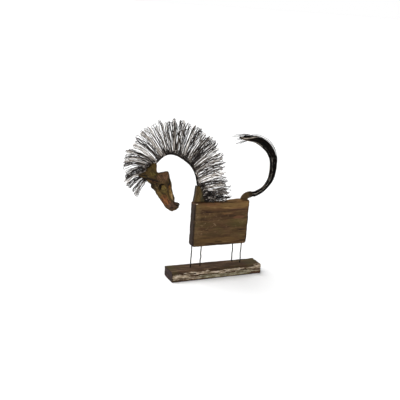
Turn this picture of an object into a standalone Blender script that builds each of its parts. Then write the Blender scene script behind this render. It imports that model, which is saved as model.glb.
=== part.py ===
"""A horse of weathered wood and wire on a reclaimed plank.

The horse faces -X and its tail is at +X. Y is the depth of the board, and Z is up.
The origin is the centre of the plank's underside.
"""
from math import cos, pi, radians, sin, sqrt
import random

import bmesh
import bpy
from mathutils import Vector

# Clearance between touching pieces
GAP = 0.0003

# Base plank
BASE_LENGTH = 0.250
BASE_DEPTH_HEAD_END = 0.053
BASE_DEPTH_TAIL_END = 0.047
BASE_HEIGHT = 0.0255
BASE_EDGE = 0.0012
# Deepest wear of the front top edge, the least share of it, and its waves over the length
BASE_WEAR = 0.0035
BASE_WEAR_LEAST = 0.35
BASE_WEAR_WAVES = 9.0
BASE_STATIONS = 22
BASE_SEED = 11

# Leg wires
LEG_DIAMETER = 0.0019
LEG_CLEAR_LENGTH = 0.0565
LEG_DEPTH_IN_BASE = 0.012
LEG_DEPTH_IN_BODY = 0.014
LEG_BEND = 0.0006
FORE_LEG_INSET = 0.0050
FORE_LEG_SPACING = 0.0272
HIND_LEG_INSET = 0.0065
HIND_LEG_SPACING = 0.0228
# How far behind the middle each wire ends, head end first: its foot as a share of the plank's
# half depth, its top as a share of the board's half thickness
LEG_FOOT_SETBACK = (0.02, 0.14, 0.62, 0.06)
LEG_TOP_SETBACK = (0.04, 0.22, 0.50, 0.09)
# How far each foot stands towards the tail from its top, as a share of the clear length
LEG_FOOT_SHIFT = (0.0, 0.0, 0.11, 0.0)
# Kinks in the clear length: share of the way up, and sideways shift as a share of LEG_BEND
LEG_KINKS = ((0.18, 0.8), (0.42, -0.5), (0.70, 0.6))

# Body board
BODY_LENGTH = 0.151
BODY_HEIGHT = 0.1140
BODY_THICKNESS = 0.0235
BODY_OFFSET = 0.0050
BODY_CORNER = 0.0040
BODY_EDGE = 0.0016
# Inset of the rounded edge's middle line as a share of the edge
BODY_EDGE_ROUND = 0.3
BODY_SWAY = 0.0030
BACK_STEPS = 16
CORNER_STEPS = 4

# Neck stub, a wedge on the board's head end
STUB_THICKNESS = 0.0130
STUB_HEIGHT = 0.0395
STUB_FOOT_LENGTH = 0.0395
STUB_TOP_LENGTH = 0.0115
STUB_LEAN = 0.0045
STUB_INSET = 0.0006
STUB_EDGE = 0.0014

# Neck rod, bent in an arch from the stub to the head
CORE_DIAMETER = 0.0040
CORE_SETBACK_IN_STUB = 0.0048
CORE_DEPTH_IN_STUB = 0.016
CORE_DEPTH_IN_HEAD = 0.018
CORE_HEADING_IN_HEAD = (-0.42, 0, -0.90)
ARCH_SPAN = 0.1140

# Mane, hanks of looped wire: how many lie on the stub, the rod and the head
MANE_HANKS = (1, 5, 1)
# Space between the windings of two hanks, and the end of a winding that is free of loops
HANK_SPACE = 0.0012
HANK_END = 0.0006
WINDING_WALL = 0.0012
MANE_LENGTH = 0.0880
MANE_WIRE = 0.0015
MANE_PITCH = 0.0047
MANE_SPREAD = 0.0085
# How much shorter the shortest loop is, and a loop's half width at its tip and its root, and
# its bow, in wire diameters
MANE_SHORTER = 0.06
MANE_HALF_WIDTH = 1.5
MANE_ROOT_HALF = 0.7
MANE_BOW = 0.4
# From this share of the way to the head's end the loops lean out less, by that factor
MANE_HEAD_SHARE = 0.82
MANE_HEAD_SPREAD = 0.3
MANE_SEED = 5

# Carved head
HEAD_LENGTH = 0.1230
HEAD_THICKNESS = 0.0160
# How much thinner the nose is than the poll, and how the two end faces narrow
HEAD_NARROWING = 0.22
HEAD_END_TAPER = 0.72
EAR_THICKNESS = 0.0042

# Tail dock and tail
DOCK_FOOT_LENGTH = 0.0200
DOCK_FOOT_INSET = 0.0010
DOCK_REACH = 0.0190
DOCK_RISE = 0.0116
DOCK_END_HEIGHT = 0.0156
DOCK_THICKNESS = 0.0125
DOCK_STEPS = 8
TAIL_HEIGHT = 0.1540
TAIL_WIDTH = 0.0240
TAIL_DEPTH_SHARE = 0.70
TAIL_ROOT_DIAMETER = 0.0100
TAIL_ROOT_DEPTH = 0.0080
TAIL_STRAND = 0.0013
TAIL_STRAND_BOW = 0.02

# Levels and ends that the pieces share
BODY_BOTTOM = BASE_HEIGHT + LEG_CLEAR_LENGTH
BODY_TOP = BODY_BOTTOM + BODY_HEIGHT
BODY_HEAD_END = BODY_OFFSET - BODY_LENGTH / 2
BODY_TAIL_END = BODY_OFFSET + BODY_LENGTH / 2
CORE_RADIUS = CORE_DIAMETER / 2
WINDING_RADIUS = CORE_RADIUS + GAP + WINDING_WALL
HOLE_SIDES = 12


def clear_scene():
    for item in list(bpy.data.objects):
        bpy.data.objects.remove(item, do_unlink=True)


def material(name, colour, roughness, metallic=0.0):
    """A Principled material."""
    made = bpy.data.materials.new(name)
    made.use_nodes = True
    shader = made.node_tree.nodes["Principled BSDF"]
    shader.inputs["Base Color"].default_value = (*colour, 1.0)
    shader.inputs["Roughness"].default_value = roughness
    shader.inputs["Metallic"].default_value = metallic
    return made


def add_object(name, mesh_builder, look=None, smooth_angle=40.0):
    """Puts a finished bmesh in the scene as one named object."""
    bmesh.ops.recalc_face_normals(mesh_builder, faces=mesh_builder.faces)
    mesh = bpy.data.meshes.new(name)
    mesh_builder.to_mesh(mesh)
    mesh_builder.free()
    made = bpy.data.objects.new(name, mesh)
    bpy.context.scene.collection.objects.link(made)
    mesh.shade_smooth()
    mesh.set_sharp_from_angle(angle=radians(smooth_angle))
    if look:
        mesh.materials.append(look)
    return made


def add_cutter(name, mesh_builder):
    """A tool solid, left out of the model."""
    made = add_object(name, mesh_builder)
    made.hide_render = True
    made.display_type = "WIRE"
    return made


def combine(target, tool, operation):
    """An exact Boolean of two solids."""
    step = target.modifiers.new(operation.lower() + " " + tool.name, "BOOLEAN")
    step.operation = operation
    step.solver = "EXACT"
    step.object = tool
    return step


def smooth_path(points, steps):
    """A Catmull-Rom curve through the points, with that many steps between two of them."""
    points = [Vector(point) for point in points]
    first = points[0] * 2 - points[1]
    last = points[-1] * 2 - points[-2]
    padded = [first] + points + [last]
    path = []
    for index in range(1, len(padded) - 2):
        before, start, end, after = padded[index - 1:index + 3]
        for step in range(steps):
            t = step / steps
            path.append(0.5 * ((2 * start) + (end - before) * t
                               + (2 * before - 5 * start + 4 * end - after) * t * t
                               + (3 * start - before - 3 * end + after) * t ** 3))
    path.append(points[-1])
    return path


def share_at(keys, share):
    """Reads a table of (share, value, ...) rows at a share between its rows."""
    for low, high in zip(keys, keys[1:]):
        if share <= high[0]:
            blend = max(0.0, (share - low[0]) / (high[0] - low[0]))
            blend = blend * blend * (3 - 2 * blend)
            return [a + (b - a) * blend for a, b in zip(low[1:], high[1:])]
    return list(keys[-1][1:])


def path_length(path):
    return sum((b - a).length for a, b in zip(path, path[1:]))


def point_along(path, distance):
    """The point at that distance along a path."""
    for start, end in zip(path, path[1:]):
        span = (end - start).length
        if distance <= span:
            return start.lerp(end, distance / span)
        distance -= span
    return path[-1].copy()


def path_between(path, start, end):
    """The stretch of a path between two distances along it."""
    stretch = [point_along(path, start)]
    distance = 0.0
    for before, point in zip(path, path[1:]):
        distance += (point - before).length
        if start < distance < end:
            stretch.append(point)
    return stretch + [point_along(path, end)]


def loft(rings):
    """A closed solid through rings of equal size, capped at both ends."""
    builder = bmesh.new()
    rows = [[builder.verts.new(point) for point in ring] for ring in rings]
    count = len(rows[0])
    for low, high in zip(rows, rows[1:]):
        for index in range(count):
            after = (index + 1) % count
            builder.faces.new((low[index], low[after], high[after], high[index]))
    builder.faces.new(rows[0][::-1])
    builder.faces.new(rows[-1])
    return builder


def section(centre, across, along_y, half_width, half_depth, sides, power=2.0):
    """A ring in the plane of two directions, round at power 2 and squarer above it."""
    ring = []
    for index in range(sides):
        angle = 2 * pi * (index + 0.5) / sides
        c, s = cos(angle), sin(angle)
        size = (abs(c) ** power + abs(s) ** power) ** (-1 / power)
        ring.append(centre + across * (half_width * size * c) + along_y * (half_depth * size * s))
    return ring


def tube(path, radii, sides, flat=1.0):
    """A solid along a path that stays near an XZ plane."""
    rings = []
    depth = Vector((0, 1, 0))
    for index, point in enumerate(path):
        before = path[max(index - 1, 0)]
        after = path[min(index + 1, len(path) - 1)]
        direction = (after - before).normalized()
        across = depth.cross(direction).normalized()
        side = direction.cross(across).normalized()
        radius = radii[index] if isinstance(radii, list) else radii
        rings.append(section(point, across, side, radius, radius * flat, sides))
    return loft(rings)


def straight_hole(start, end, radius):
    """A drill for a hole between two points."""
    return tube([Vector(start), Vector(end)], radius, HOLE_SIDES)


# Base plank

def base_plank(look):
    """A plank whose front top edge is worn unevenly; its ends and other edges are only eased."""
    chance = random.Random(BASE_SEED)
    rings = []
    places = [0.0, BASE_EDGE / BASE_LENGTH]
    places += [index / BASE_STATIONS for index in range(1, BASE_STATIONS)]
    places += [1 - BASE_EDGE / BASE_LENGTH, 1.0]
    for share in places:
        x = (share - 0.5) * BASE_LENGTH
        inset = BASE_EDGE if share in (0.0, 1.0) else 0.0
        half = (BASE_DEPTH_HEAD_END * (1 - share) + BASE_DEPTH_TAIL_END * share) / 2 - inset
        wave = BASE_WEAR_LEAST + (1 - BASE_WEAR_LEAST) * abs(sin(BASE_WEAR_WAVES * share))
        chip_back = BASE_EDGE + BASE_WEAR * wave * chance.random()
        chip_down = BASE_EDGE + BASE_WEAR * (1 - BASE_WEAR_LEAST) * chance.random()
        top = BASE_HEIGHT - inset
        rings.append([Vector((x, y, z)) for y, z in (
            (-half + BASE_EDGE, inset), (-half, BASE_EDGE + inset),
            (-half, top - chip_down), (-half + chip_back, top),
            (half - BASE_EDGE, top), (half, top - BASE_EDGE),
            (half, BASE_EDGE + inset), (half - BASE_EDGE, inset))])
    made = add_object("base_plank", loft(rings), look, 25.0)
    for index, foot in enumerate(leg_feet()):
        top = foot + Vector((0, 0, BASE_HEIGHT))
        drill = straight_hole(foot, top, LEG_DIAMETER / 2 + GAP)
        combine(made, add_cutter("base_drill_%d" % (index + 1), drill), "DIFFERENCE")
    return made


# Leg wires

def leg_places():
    """Where each wire stands along X, head end first."""
    fore = BODY_HEAD_END + FORE_LEG_INSET
    hind = BODY_TAIL_END - HIND_LEG_INSET
    return [fore, fore + FORE_LEG_SPACING, hind - HIND_LEG_SPACING, hind]


def leg_feet():
    level = BASE_HEIGHT - LEG_DEPTH_IN_BASE
    half = min(BASE_DEPTH_HEAD_END, BASE_DEPTH_TAIL_END) / 2
    return [Vector((x + shift * LEG_CLEAR_LENGTH, share * half, level))
            for x, share, shift in zip(leg_places(), LEG_FOOT_SETBACK, LEG_FOOT_SHIFT)]


def leg_tops():
    level = BODY_BOTTOM + LEG_DEPTH_IN_BODY
    return [Vector((x, share * BODY_THICKNESS / 2, level))
            for x, share in zip(leg_places(), LEG_TOP_SETBACK)]


def leg_wire(index, look):
    """One wire, upright in the plank and the board, with a slight kink between them."""
    foot = leg_feet()[index]
    top = leg_tops()[index]
    sway = LEG_BEND if index % 2 else -LEG_BEND
    low = Vector((foot.x, foot.y, BASE_HEIGHT))
    high = Vector((top.x, top.y, BODY_BOTTOM))
    path = [foot + Vector((0, 0, GAP)), low]
    for share, shift in LEG_KINKS:
        path.append(low.lerp(high, share) + Vector((sway * shift, 0, 0)))
    path += [high, top - Vector((0, 0, GAP))]
    return add_object("leg_wire_%d" % (index + 1), tube(path, LEG_DIAMETER / 2, 8), look)


# Body board

def back_level(x):
    """The board's top edge, level under the stub and the dock and lower between them."""
    start = BODY_HEAD_END + STUB_INSET + STUB_FOOT_LENGTH + GAP
    end = BODY_TAIL_END - DOCK_FOOT_INSET - DOCK_FOOT_LENGTH - GAP
    share = (x - start) / (end - start)
    if share <= 0 or share >= 1:
        return BODY_TOP
    return BODY_TOP - BODY_SWAY * sin(pi * share) ** 2


def corner_arc(x, z, radius, start):
    """A quarter circle about a point in XZ, from its start angle."""
    angles = [radians(start + 90 * step / CORNER_STEPS) for step in range(CORNER_STEPS + 1)]
    return [(x + radius * cos(angle), z + radius * sin(angle)) for angle in angles]


def board_outline(inset):
    """The board's outline in XZ with rounded corners, drawn in by an inset."""
    radius = BODY_CORNER - inset
    left, right = BODY_HEAD_END + BODY_CORNER, BODY_TAIL_END - BODY_CORNER
    bottom, top = BODY_BOTTOM + BODY_CORNER, BODY_TOP - BODY_CORNER
    points = corner_arc(right, bottom, radius, -90) + corner_arc(right, top, radius, 0)
    for step in range(1, BACK_STEPS):
        x = right + (left - right) * step / BACK_STEPS
        points.append((x, back_level(x) - inset))
    return points + corner_arc(left, top, radius, 90) + corner_arc(left, bottom, radius, 180)


def body_board(look):
    half = BODY_THICKNESS / 2
    near = BODY_EDGE * BODY_EDGE_ROUND
    layers = ((-half, BODY_EDGE), (-half + near, near), (-half + BODY_EDGE, 0),
              (half - BODY_EDGE, 0), (half - near, near), (half, BODY_EDGE))
    rings = [[Vector((x, y, z)) for x, z in board_outline(inset)] for y, inset in layers]
    made = add_object("body_board", loft(rings), look, 35.0)
    for index, top in enumerate(leg_tops()):
        start = Vector((top.x, top.y, BODY_BOTTOM - BODY_EDGE))
        drill = straight_hole(start, top, LEG_DIAMETER / 2 + GAP)
        combine(made, add_cutter("body_drill_%d" % (index + 1), drill), "DIFFERENCE")
    return made


# Neck stub

def stub_corners():
    """The wedge's corners in XZ: foot at the head end, top, top, foot towards the tail."""
    foot = BODY_HEAD_END + STUB_INSET
    level = BODY_TOP + GAP
    top = level + STUB_HEIGHT
    return ((foot, level), (foot + STUB_LEAN, top), (foot + STUB_LEAN + STUB_TOP_LENGTH, top),
            (foot + STUB_FOOT_LENGTH, level))


def core_mouth():
    """Where the rod leaves the stub's top, close behind its head-side corner."""
    corner = stub_corners()[1]
    return Vector((corner[0] + CORE_SETBACK_IN_STUB, 0, corner[1]))


def neck_stub(look):
    """The wedge, with its two long edges on each face eased."""
    half = STUB_THICKNESS / 2
    corners = stub_corners()
    inward = (1, 1, -1, -1)
    rings = []
    layers = ((-half, STUB_EDGE), (STUB_EDGE - half, 0), (half - STUB_EDGE, 0), (half, STUB_EDGE))
    for y, inset in layers:
        rings.append([Vector((x + sign * inset, y, z)) for (x, z), sign in zip(corners, inward)])
    made = add_object("neck_stub", loft(rings), look, 25.0)
    drill = tube(core_path(), CORE_RADIUS + GAP, HOLE_SIDES)
    combine(made, add_cutter("stub_drill", drill), "DIFFERENCE")
    return made


# Neck rod

# The arch's centre line as shares of its span, from the stub's top to the head's poll
ARCH_SHAPE = ((0.000, 0.000), (-0.013, 0.065), (-0.040, 0.180), (-0.083, 0.300), (-0.158, 0.420),
              (-0.238, 0.502), (-0.340, 0.580), (-0.462, 0.656), (-0.568, 0.702), (-0.672, 0.720),
              (-0.776, 0.702), (-0.880, 0.638), (-0.955, 0.568))


def arch_point(share):
    return core_mouth() + Vector((share[0], 0, share[1])) * ARCH_SPAN


def poll_point():
    """Where the rod enters the head."""
    return arch_point((-1.000, 0.516))


def core_path():
    """The rod's centre line, with its two ends let into the stub and the head."""
    top = core_mouth()
    low = top - Vector((0, 0, CORE_DEPTH_IN_STUB))
    points = [low, low.lerp(top, 0.5)] + [arch_point(share) for share in ARCH_SHAPE]
    inside = poll_point() + Vector(CORE_HEADING_IN_HEAD) * CORE_DEPTH_IN_HEAD
    return smooth_path(points + [poll_point(), inside], 2)


def neck_core(look):
    path = core_path()
    return add_object("neck_core", tube(path, CORE_RADIUS, 8), look)


# Carved head

# Pairs of points on the forehead side and the jaw side, from the poll to the nose, as shares of
# the head's length from the point where the rod enters
HEAD_OUTLINE = (
    ((-0.052, -0.012), (0.024, -0.012)), ((-0.088, -0.044), (0.030, -0.038)),
    ((-0.128, -0.088), (0.031, -0.082)), ((-0.170, -0.145), (0.034, -0.120)),
    ((-0.196, -0.205), (0.042, -0.150)), ((-0.192, -0.265), (0.056, -0.170)),
    ((-0.168, -0.318), (0.078, -0.182)), ((-0.130, -0.360), (0.150, -0.170)),
    ((-0.088, -0.390), (0.222, -0.160)), ((-0.052, -0.418), (0.268, -0.164)),
    ((-0.032, -0.456), (0.288, -0.220)), ((-0.020, -0.496), (0.311, -0.300)),
    ((-0.004, -0.542), (0.331, -0.375)), ((0.034, -0.580), (0.352, -0.445)),
    ((0.072, -0.626), (0.371, -0.515)), ((0.112, -0.680), (0.389, -0.590)),
    ((0.152, -0.734), (0.406, -0.655)), ((0.196, -0.789), (0.422, -0.722)),
    ((0.232, -0.832), (0.444, -0.775)), ((0.258, -0.862), (0.496, -0.800)),
    ((0.288, -0.893), (0.540, -0.835)), ((0.318, -0.924), (0.522, -0.880)),
    ((0.346, -0.948), (0.490, -0.904)), ((0.378, -0.962), (0.494, -0.930)),
    ((0.410, -0.966), (0.466, -0.950)))
HEAD_SIDES = 22
# Rows of the outline that the mane follows
CREST_ROWS = 8
# The ear's line, then its sections: share of the way, half width as a share of the head's
# length, and share of the full thickness
EAR_ROOT = (-0.150, -0.235)
EAR_TIP = (-0.352, -0.205)
EAR_ARCH = 0.012
EAR_SHAPE = ((0.00, 0.062, 0.9), (0.30, 0.058, 1.0), (0.60, 0.044, 0.9), (0.85, 0.024, 0.7),
             (1.00, 0.006, 0.3))


def head_point(share, y=0.0):
    return poll_point() + Vector((share[0] * HEAD_LENGTH, y, share[1] * HEAD_LENGTH))


def bump(share_x, share_z, centre, radius):
    """A soft round swelling: 1 at its centre, falling away over its radius."""
    distance = sqrt((share_x - centre[0]) ** 2 + (share_z - centre[1]) ** 2) / radius
    return max(0.0, 1 - distance * distance) ** 2


def groove(share_x, share_z, centre, radius, start, end, width):
    """A cut along an arc between two angles: 1 on its line, 0 beyond its width."""
    offset = Vector((share_x - centre[0], share_z - centre[1]))
    middle = radians((start + end) / 2)
    toward = Vector((cos(middle), sin(middle)))
    turn = abs(offset.angle(toward, 0.0)) if offset.length else 0.0
    beyond = max(0.0, turn - radians(abs(end - start) / 2)) * radius
    distance = sqrt((offset.length - radius) ** 2 + beyond ** 2) / width
    return max(0.0, 1 - distance * distance)


def head_relief(share_x, share_z):
    """The carving on the head's side, in shares of its half thickness."""
    temple = bump(share_x, share_z, (-0.030, -0.385), 0.130)
    brow = bump(share_x, share_z, (0.022, -0.452), 0.064)
    socket = groove(share_x, share_z, (0.022, -0.452), 0.070, -120, 150, 0.026)
    eyelid = groove(share_x, share_z, (0.163, -0.466), 0.070, 55, 205, 0.022)
    cheek = bump(share_x, share_z, (0.200, -0.310), 0.260)
    mouth = groove(share_x, share_z, (0.440, -0.750), 0.150, -112, -62, 0.020)
    muzzle = bump(share_x, share_z, (0.390, -0.880), 0.170)
    return (0.12 * cheek + 0.16 * muzzle - 0.30 * temple + 0.34 * brow
            - 0.26 * socket - 0.28 * eyelid - 0.25 * mouth)


def head_ring(front, jaw, taper):
    """One section across the head, from the forehead side to the jaw side and back."""
    ring = []
    for index in range(HEAD_SIDES):
        angle = 2 * pi * (index + 0.5) / HEAD_SIDES
        across = -cos(angle)
        share = (1 + across * min(1.0, (abs(across) ** 3 + abs(sin(angle)) ** 3) ** (-1 / 3))) / 2
        x = front[0] + (jaw[0] - front[0]) * share
        z = front[1] + (jaw[1] - front[1]) * share
        edge = (1 - abs(2 * share - 1) ** 3.2) ** (1 / 2.2)
        depth = HEAD_THICKNESS / 2 * taper * edge * (1 + head_relief(x, z))
        ring.append(head_point((x, z), depth if sin(angle) > 0 else -depth))
    return ring


def ear(name, side):
    """A pointed ear lying out from the crest, on one side of the mane's line."""
    middle = WINDING_RADIUS + GAP + EAR_THICKNESS / 2
    rings = []
    for along, width, thick in EAR_SHAPE:
        x = EAR_ROOT[0] + (EAR_TIP[0] - EAR_ROOT[0]) * along
        z = EAR_ROOT[1] + (EAR_TIP[1] - EAR_ROOT[1]) * along + EAR_ARCH * sin(pi * along)
        centre = head_point((x, z), side * middle)
        rings.append(section(centre, Vector((0, 0, 1)), Vector((0, 1, 0)),
                             width * HEAD_LENGTH, EAR_THICKNESS / 2 * thick, 10, 2.4))
    return add_cutter(name, loft(rings))


def head(look):
    count = len(HEAD_OUTLINE)
    rings = []
    for index, (front, jaw) in enumerate(HEAD_OUTLINE):
        taper = 1.0 - HEAD_NARROWING * index / (count - 1)
        if index in (0, count - 1):
            taper *= HEAD_END_TAPER
        rings.append(head_ring(front, jaw, taper))
    made = add_object("head", loft(rings), look, 35.0)
    combine(made, ear("ear_near", -1), "UNION")
    combine(made, ear("ear_far", 1), "UNION")
    drill = tube(core_path(), CORE_RADIUS + GAP, HOLE_SIDES)
    combine(made, add_cutter("head_drill", drill), "DIFFERENCE")
    return made


# Mane

def crest_path():
    """The winding's line beside the head's crest, clear of the wood by its own radius."""
    poll = head_point(HEAD_OUTLINE[0][1])
    crest = [poll] + [head_point(front) for front, jaw in HEAD_OUTLINE[:CREST_ROWS]]
    line = []
    for index in range(1, len(crest) - 1):
        along = (crest[index + 1] - crest[index - 1]).normalized()
        line.append(crest[index] + Vector((along.z, 0, -along.x)) * (WINDING_RADIUS + GAP * 2))
    return line


def winding_runs():
    """The mane's lines: up the stub's back edge, along the rod and down the head's crest."""
    corners = stub_corners()
    top, foot = Vector((corners[2][0], 0, corners[2][1])), Vector((corners[3][0], 0, corners[3][1]))
    edge = (top - foot).normalized()
    off = Vector((edge.z, 0, -edge.x)) * (WINDING_RADIUS + GAP * 2)
    slope = [foot + edge * WINDING_RADIUS + off, top + off]
    rod = core_path()
    low = CORE_DEPTH_IN_STUB + WINDING_RADIUS
    high = path_length(rod) - CORE_DEPTH_IN_HEAD - WINDING_RADIUS
    return [slope, path_between(rod, low, high), smooth_path(crest_path(), 2)]


# How the loops fan out: share of the way along the mane, angle above +X, share of the length
MANE_FAN = ((0.00, -3, 0.65), (0.06, 1, 0.78), (0.16, 8, 0.90), (0.24, 16, 0.95), (0.31, 25, 0.98),
            (0.38, 42, 0.98), (0.45, 58, 0.98), (0.53, 76, 1.00), (0.60, 97, 0.99), (0.66, 117, 0.96),
            (0.72, 136, 0.96), (0.78, 152, 0.94), (0.84, 166, 0.84), (0.89, 184, 0.66),
            (0.94, 210, 0.50), (1.00, 232, 0.50))


def hairpin(base, direction, side, length, half_width, bow):
    """The centre line of one wire loop: out, round its tip and back."""
    tip = base + direction * (length - half_width)
    middle = base.lerp(tip, 0.5) + side * bow
    root_half = MANE_WIRE * MANE_ROOT_HALF
    middle_half = (root_half + half_width) / 2
    path = [base + side * root_half, middle + side * middle_half, tip + side * half_width]
    for angle in (45, 90, 135):
        turn = radians(angle)
        path.append(tip + side * (half_width * cos(turn)) + direction * (half_width * sin(turn)))
    return path + [tip - side * half_width, middle - side * middle_half, base - side * root_half]


def hank_loops(path, start, end, fan, chance):
    """The hairpins between two distances along a run, in one mesh.

    The fan gives the run's own start and the whole mane's length.
    """
    run_start, whole = fan
    span = end - start - 2 * HANK_END
    count = int(span / MANE_PITCH)
    builder = bmesh.new()
    for index in range(count):
        distance = start + HANK_END + span * (index + 0.5) / count
        share = (run_start + distance) / whole
        base = point_along(path, distance)
        angle, reach = share_at(MANE_FAN, share)
        out = Vector((cos(radians(angle)), 0, sin(radians(angle))))
        side = Vector((out.z, 0, -out.x))
        lean = MANE_SPREAD if index % 2 else -MANE_SPREAD
        if share > MANE_HEAD_SHARE:
            lean *= MANE_HEAD_SPREAD
        reach = reach * MANE_LENGTH * (1 - MANE_SHORTER * chance.random())
        direction = (out * reach + Vector((0, lean, 0))).normalized()
        bow = MANE_WIRE * MANE_BOW * (chance.random() - 0.5)
        turns = hairpin(base, direction, side, reach, MANE_WIRE * MANE_HALF_WIDTH, bow)
        wire = tube(turns, MANE_WIRE / 2, 4)
        mesh = bpy.data.meshes.new("wire")
        wire.to_mesh(mesh)
        wire.free()
        builder.from_mesh(mesh)
        bpy.data.meshes.remove(mesh)
    return builder


def mane(look):
    """The hanks, each a winding with its loops joined to it, bored for the rod."""
    chance = random.Random(MANE_SEED)
    runs = winding_runs()
    whole = sum(path_length(path) for path in runs)
    run_start = 0.0
    number = 0
    for path, hanks in zip(runs, MANE_HANKS):
        length = path_length(path)
        for hank in range(hanks):
            number += 1
            name = "mane_%d" % number
            start = length * hank / hanks + HANK_SPACE / 2
            end = length * (hank + 1) / hanks - HANK_SPACE / 2
            winding = tube(path_between(path, start, end), WINDING_RADIUS, 10)
            made = add_object(name, winding, look, 50.0)
            loops = hank_loops(path, start, end, (run_start, whole), chance)
            combine(made, add_cutter(name + "_loops", loops), "UNION").use_self = True
            bore = tube(core_path(), CORE_RADIUS + GAP, 10)
            combine(made, add_cutter(name + "_bore", bore), "DIFFERENCE")
        run_start += length


# Tail dock and tail

def dock_end():
    """The centre of the dock's end face, which looks along +X."""
    x = BODY_TAIL_END - DOCK_FOOT_INSET - DOCK_FOOT_LENGTH / 2 + DOCK_REACH
    return Vector((x, 0, BODY_TOP + DOCK_RISE))


def tail_dock(look):
    """A stub bent from upright on the board to level at the tail."""
    foot = Vector((BODY_TAIL_END - DOCK_FOOT_INSET - DOCK_FOOT_LENGTH / 2, 0, BODY_TOP + GAP))
    end = dock_end()
    rings = []
    for step in range(DOCK_STEPS + 1):
        share = step / DOCK_STEPS
        turn = pi / 2 * share
        x = foot.x + (end.x - foot.x) * (1 - cos(turn))
        z = foot.z + (end.z - foot.z) * sin(turn)
        width = DOCK_FOOT_LENGTH + (DOCK_END_HEIGHT - DOCK_FOOT_LENGTH) * share
        across = Vector((-cos(turn), 0, sin(turn)))
        rings.append(section(Vector((x, 0, z)), across, Vector((0, 1, 0)), width / 2,
                             DOCK_THICKNESS / 2, 14, 2.6))
    made = add_object("tail_dock", loft(rings), look, 45.0)
    start = end - Vector((TAIL_ROOT_DEPTH + GAP, 0, 0))
    drill = straight_hole(start, end + Vector((BODY_EDGE, 0, 0)), TAIL_ROOT_DIAMETER / 2 + GAP)
    combine(made, add_cutter("dock_drill", drill), "DIFFERENCE")
    return made


# The tail's centre line from the dock's end as shares of its height, with its width's share
TAIL_SHAPE = ((0.097, 0.004, 0.56), (0.204, 0.070, 0.58), (0.324, 0.204, 0.66), (0.369, 0.313, 0.73),
              (0.378, 0.440, 0.84), (0.360, 0.570, 0.93), (0.295, 0.725, 1.00), (0.205, 0.830, 1.03),
              (0.092, 0.912, 0.98), (-0.032, 0.943, 0.76), (-0.150, 0.948, 0.48), (-0.250, 0.946, 0.22))
# Strands that leave the tip: where each starts inside the bundle and where it ends
TAIL_ENDS = (((0.00, 0.940), (-0.20, 1.012)), ((-0.05, 0.935), (-0.36, 0.995)),
             ((-0.07, 0.935), (-0.44, 0.965)), ((-0.05, 0.925), (-0.39, 0.905)),
             ((-0.03, 0.915), (-0.36, 0.845)))


def tail_point(share_x, share_z):
    return dock_end() + Vector((share_x * TAIL_HEIGHT, 0, share_z * TAIL_HEIGHT))


def tail(look):
    """A tapering bundle let into the dock, with a few wires standing off its tip."""
    root_radius = TAIL_ROOT_DIAMETER / 2
    inner = dock_end() - Vector((TAIL_ROOT_DEPTH, 0, 0))
    mouth = dock_end() + Vector((GAP, 0, 0))
    rows = [Vector((*tail_point(x, z), width * TAIL_WIDTH / 2)) for x, z, width in TAIL_SHAPE]
    path = smooth_path(rows, 2)
    centres = [Vector(row[:3]) for row in path]
    radii = [row[3] for row in path]
    bundle = tube([inner, mouth] + centres, [root_radius, root_radius] + radii, 12, TAIL_DEPTH_SHARE)
    made = add_object("tail", bundle, look, 60.0)
    for index, (start, end) in enumerate(TAIL_ENDS):
        low = tail_point(*start)
        high = tail_point(*end)
        bow = Vector((0, 0, TAIL_HEIGHT * TAIL_STRAND_BOW))
        points = [low, low.lerp(high, 0.5) + bow, high]
        strand = tube(smooth_path(points, 3), TAIL_STRAND / 2, 4)
        combine(made, add_cutter("tail_end_%d" % (index + 1), strand), "UNION")
    return made


def main():
    clear_scene()
    plank_wood = material("plank wood", (0.12, 0.075, 0.045), 0.85)
    board_wood = material("board wood", (0.15, 0.095, 0.05), 0.7)
    stub_wood = material("stub wood", (0.17, 0.12, 0.05), 0.7)
    head_wood = material("head wood", (0.16, 0.085, 0.045), 0.65)
    leg_steel = material("leg steel", (0.08, 0.08, 0.08), 0.5, 0.8)
    neck_steel = material("neck steel", (0.03, 0.03, 0.03), 0.55, 0.7)
    mane_steel = material("mane steel", (0.22, 0.21, 0.21), 0.45, 0.8)
    tail_steel = material("tail steel", (0.02, 0.02, 0.018), 0.5, 0.6)
    base_plank(plank_wood)
    for index in range(4):
        leg_wire(index, leg_steel)
    body_board(board_wood)
    neck_stub(stub_wood)
    neck_core(neck_steel)
    head(head_wood)
    mane(mane_steel)
    tail_dock(stub_wood)
    tail(tail_steel)


main()
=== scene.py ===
# %% [markdown]
# # A horse of wire and weathered wood
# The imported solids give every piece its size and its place. This script loads them as a fixed
# frame and makes what an eye looks for: grain, worn edges, flaking paint and hundreds of wires.

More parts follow.
